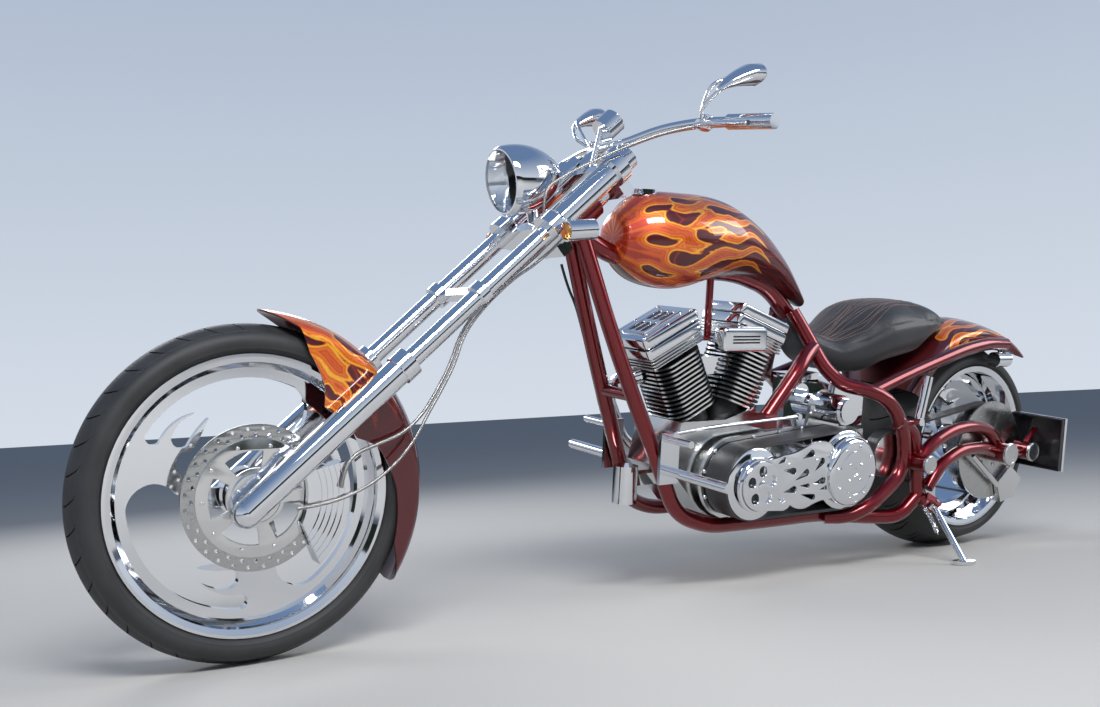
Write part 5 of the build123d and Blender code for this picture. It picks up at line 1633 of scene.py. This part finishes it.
# %% Rocker boxes and coil cover
def rounded_loop(half_width, half_height, radius, count=6):
    """A rectangle with round corners."""
    loop = []
    for k, (sx, sy) in enumerate(((1, 1), (-1, 1), (-1, -1), (1, -1))):
        for n in range(count + 1):
            angle = math.pi / 2 * (k + n / count)
            loop.append((sx * (half_width - radius) + radius * math.cos(angle),
                         sy * (half_height - radius) + radius * math.sin(angle)))
    return loop


TURN_FLAT = Matrix(((1, 0, 0), (0, 0, 1), (0, -1, 0))).transposed().to_4x4()
bright_parts, dark_parts, head_parts = [], [], []
for tilt, shift in zip(cylinder_leans, (8, 10)):
    def layer(low, high, half_width, half_height, radius, edge, openings=()):
        at = cylinder_frame(tilt, (low + high) / 2, shift) @ TURN_FLAT
        return flat_plate("layer", [rounded_loop(half_width, half_height, radius), *openings], high - low,
                          edge, at)

    head_parts.append(layer(358, 393, 80, 62, 12, 2))
    head_parts += [layer(362 + 8.2 * n, 365.4 + 8.2 * n, 91, 75, 10, 0.8) for n in range(4)]
    bright_parts.append(layer(392, 417, 95, 78, 12, 2.5))
    dark_parts.append(layer(416, 421, 90, 73, 12, 0.5))
    bright_parts.append(layer(420, 448, 95, 78, 12, 6))
    slots = [[(x + a, y + b) for a, b in rounded_loop(24, 9, 8)] for x in (-31, 31) for y in (-24, 0, 24)]
    bright_parts.append(layer(447.5, 452, 68, 48, 10, 1.2, slots))
    dark_parts.append(layer(447, 449.6, 64, 44, 8, 0.3))
new_piece("rocker_lids", joined("rocker_lids", bright_parts), "root", chrome, ["rocker_boxes"])
new_piece("rocker_dark", joined("rocker_dark", dark_parts), "root", black_metal)
new_piece("head_fins", joined("head_fins", head_parts), "root", polished_alloy)
coil_parts = [flat_plate("coil", [rounded_loop(77, 32, 14)], 42, 9, left_face(973, 116, 670)),
              spun("coil_post", [(20, 0), (20, 9), (96, 9), (96, 0)],
                   LEANED @ Matrix.Translation(mm(985, 0, 664)), 20)]
new_piece("coil_case", joined("coil_case", coil_parts), "root", chrome, ["coil_cover"])
coil_lines = [flat_plate("coil_line", [rounded_loop(48, 2.2, 2)], 2, 0.3, left_face(973, 136.6, z))
              for z in (662, 670, 678)]
new_piece("coil_lines", joined("coil_lines", coil_lines), "root", black_metal)
print("rocker boxes ready")

# %% Front brake disc and caliper
FACE_LEFT = Matrix(((-1, 0, 0), (0, 0, 1), (0, 1, 0))).transposed().to_4x4()
DISC = FRONT_WHEEL @ Matrix.Translation(mm(0, 70, 0)) @ FACE_LEFT
holes = [round_loop(reach * math.cos(a), reach * math.sin(a), 3.7, 12) for reach,
         start in ((127.5, 0.0), (140, 0.5))
         for a in (2 * math.pi * (n + start) / 28 for n in range(28))]
band = flat_plate("disc_band", [round_loop(0, 0, 149, 144), round_loop(0, 0, 118, 112)] + holes, 5, 0.5,
                  DISC)
new_piece("front_disc", band, "front_wheel", machined_steel, ["front_rotors"])


def sector_loop(low, high, start, end, count=9):
    turns = [start + (end - start) * n / (count - 1) for n in range(count)]
    outer = [(high * math.cos(a), high * math.sin(a)) for a in turns]
    return outer + [(low * math.cos(a), low * math.sin(a)) for a in reversed(turns)]


sectors = [sector_loop(60, 95, math.radians(72 * n + 8), math.radians(72 * n + 58)) for n in range(5)]
carrier = flat_plate("disc_carrier", [round_loop(0, 0, 121, 112), round_loop(0, 0, 22, 40)] + sectors, 8,
                     1.2, DISC)
carrier_hub = spun("carrier_hub", [(60, 22), (60, 52), (74, 52), (77.4, 49), (77.4, 22)], FRONT_WHEEL, 64,
                   closed=True)
smooth(carrier_hub, 35)
new_piece("front_disc_carrier", joined("front_disc_carrier", [carrier, carrier_hub]), "front_wheel",
          polished_alloy)
caliper_node = nodes["front_calipers"]
caliper_shape = bmesh.new()
caliper_shape.from_mesh(caliper_node.data)
caliper_shape.transform(caliper_node.matrix_world)
to_steered = STEERED.inverted()
bmesh.ops.delete(caliper_shape, geom=[v for v in caliper_shape.verts if (to_steered @ v.co).y < 0],
                 context="VERTS")
caliper_mesh = bpy.data.meshes.new("front_caliper")
caliper_shape.to_mesh(caliper_mesh)
caliper_shape.free()
smooth(caliper_mesh, 35)
new_piece("front_caliper", caliper_mesh, "steering", chrome, ["front_calipers"])
print("front brake ready, caliper faces", len(caliper_mesh.polygons))
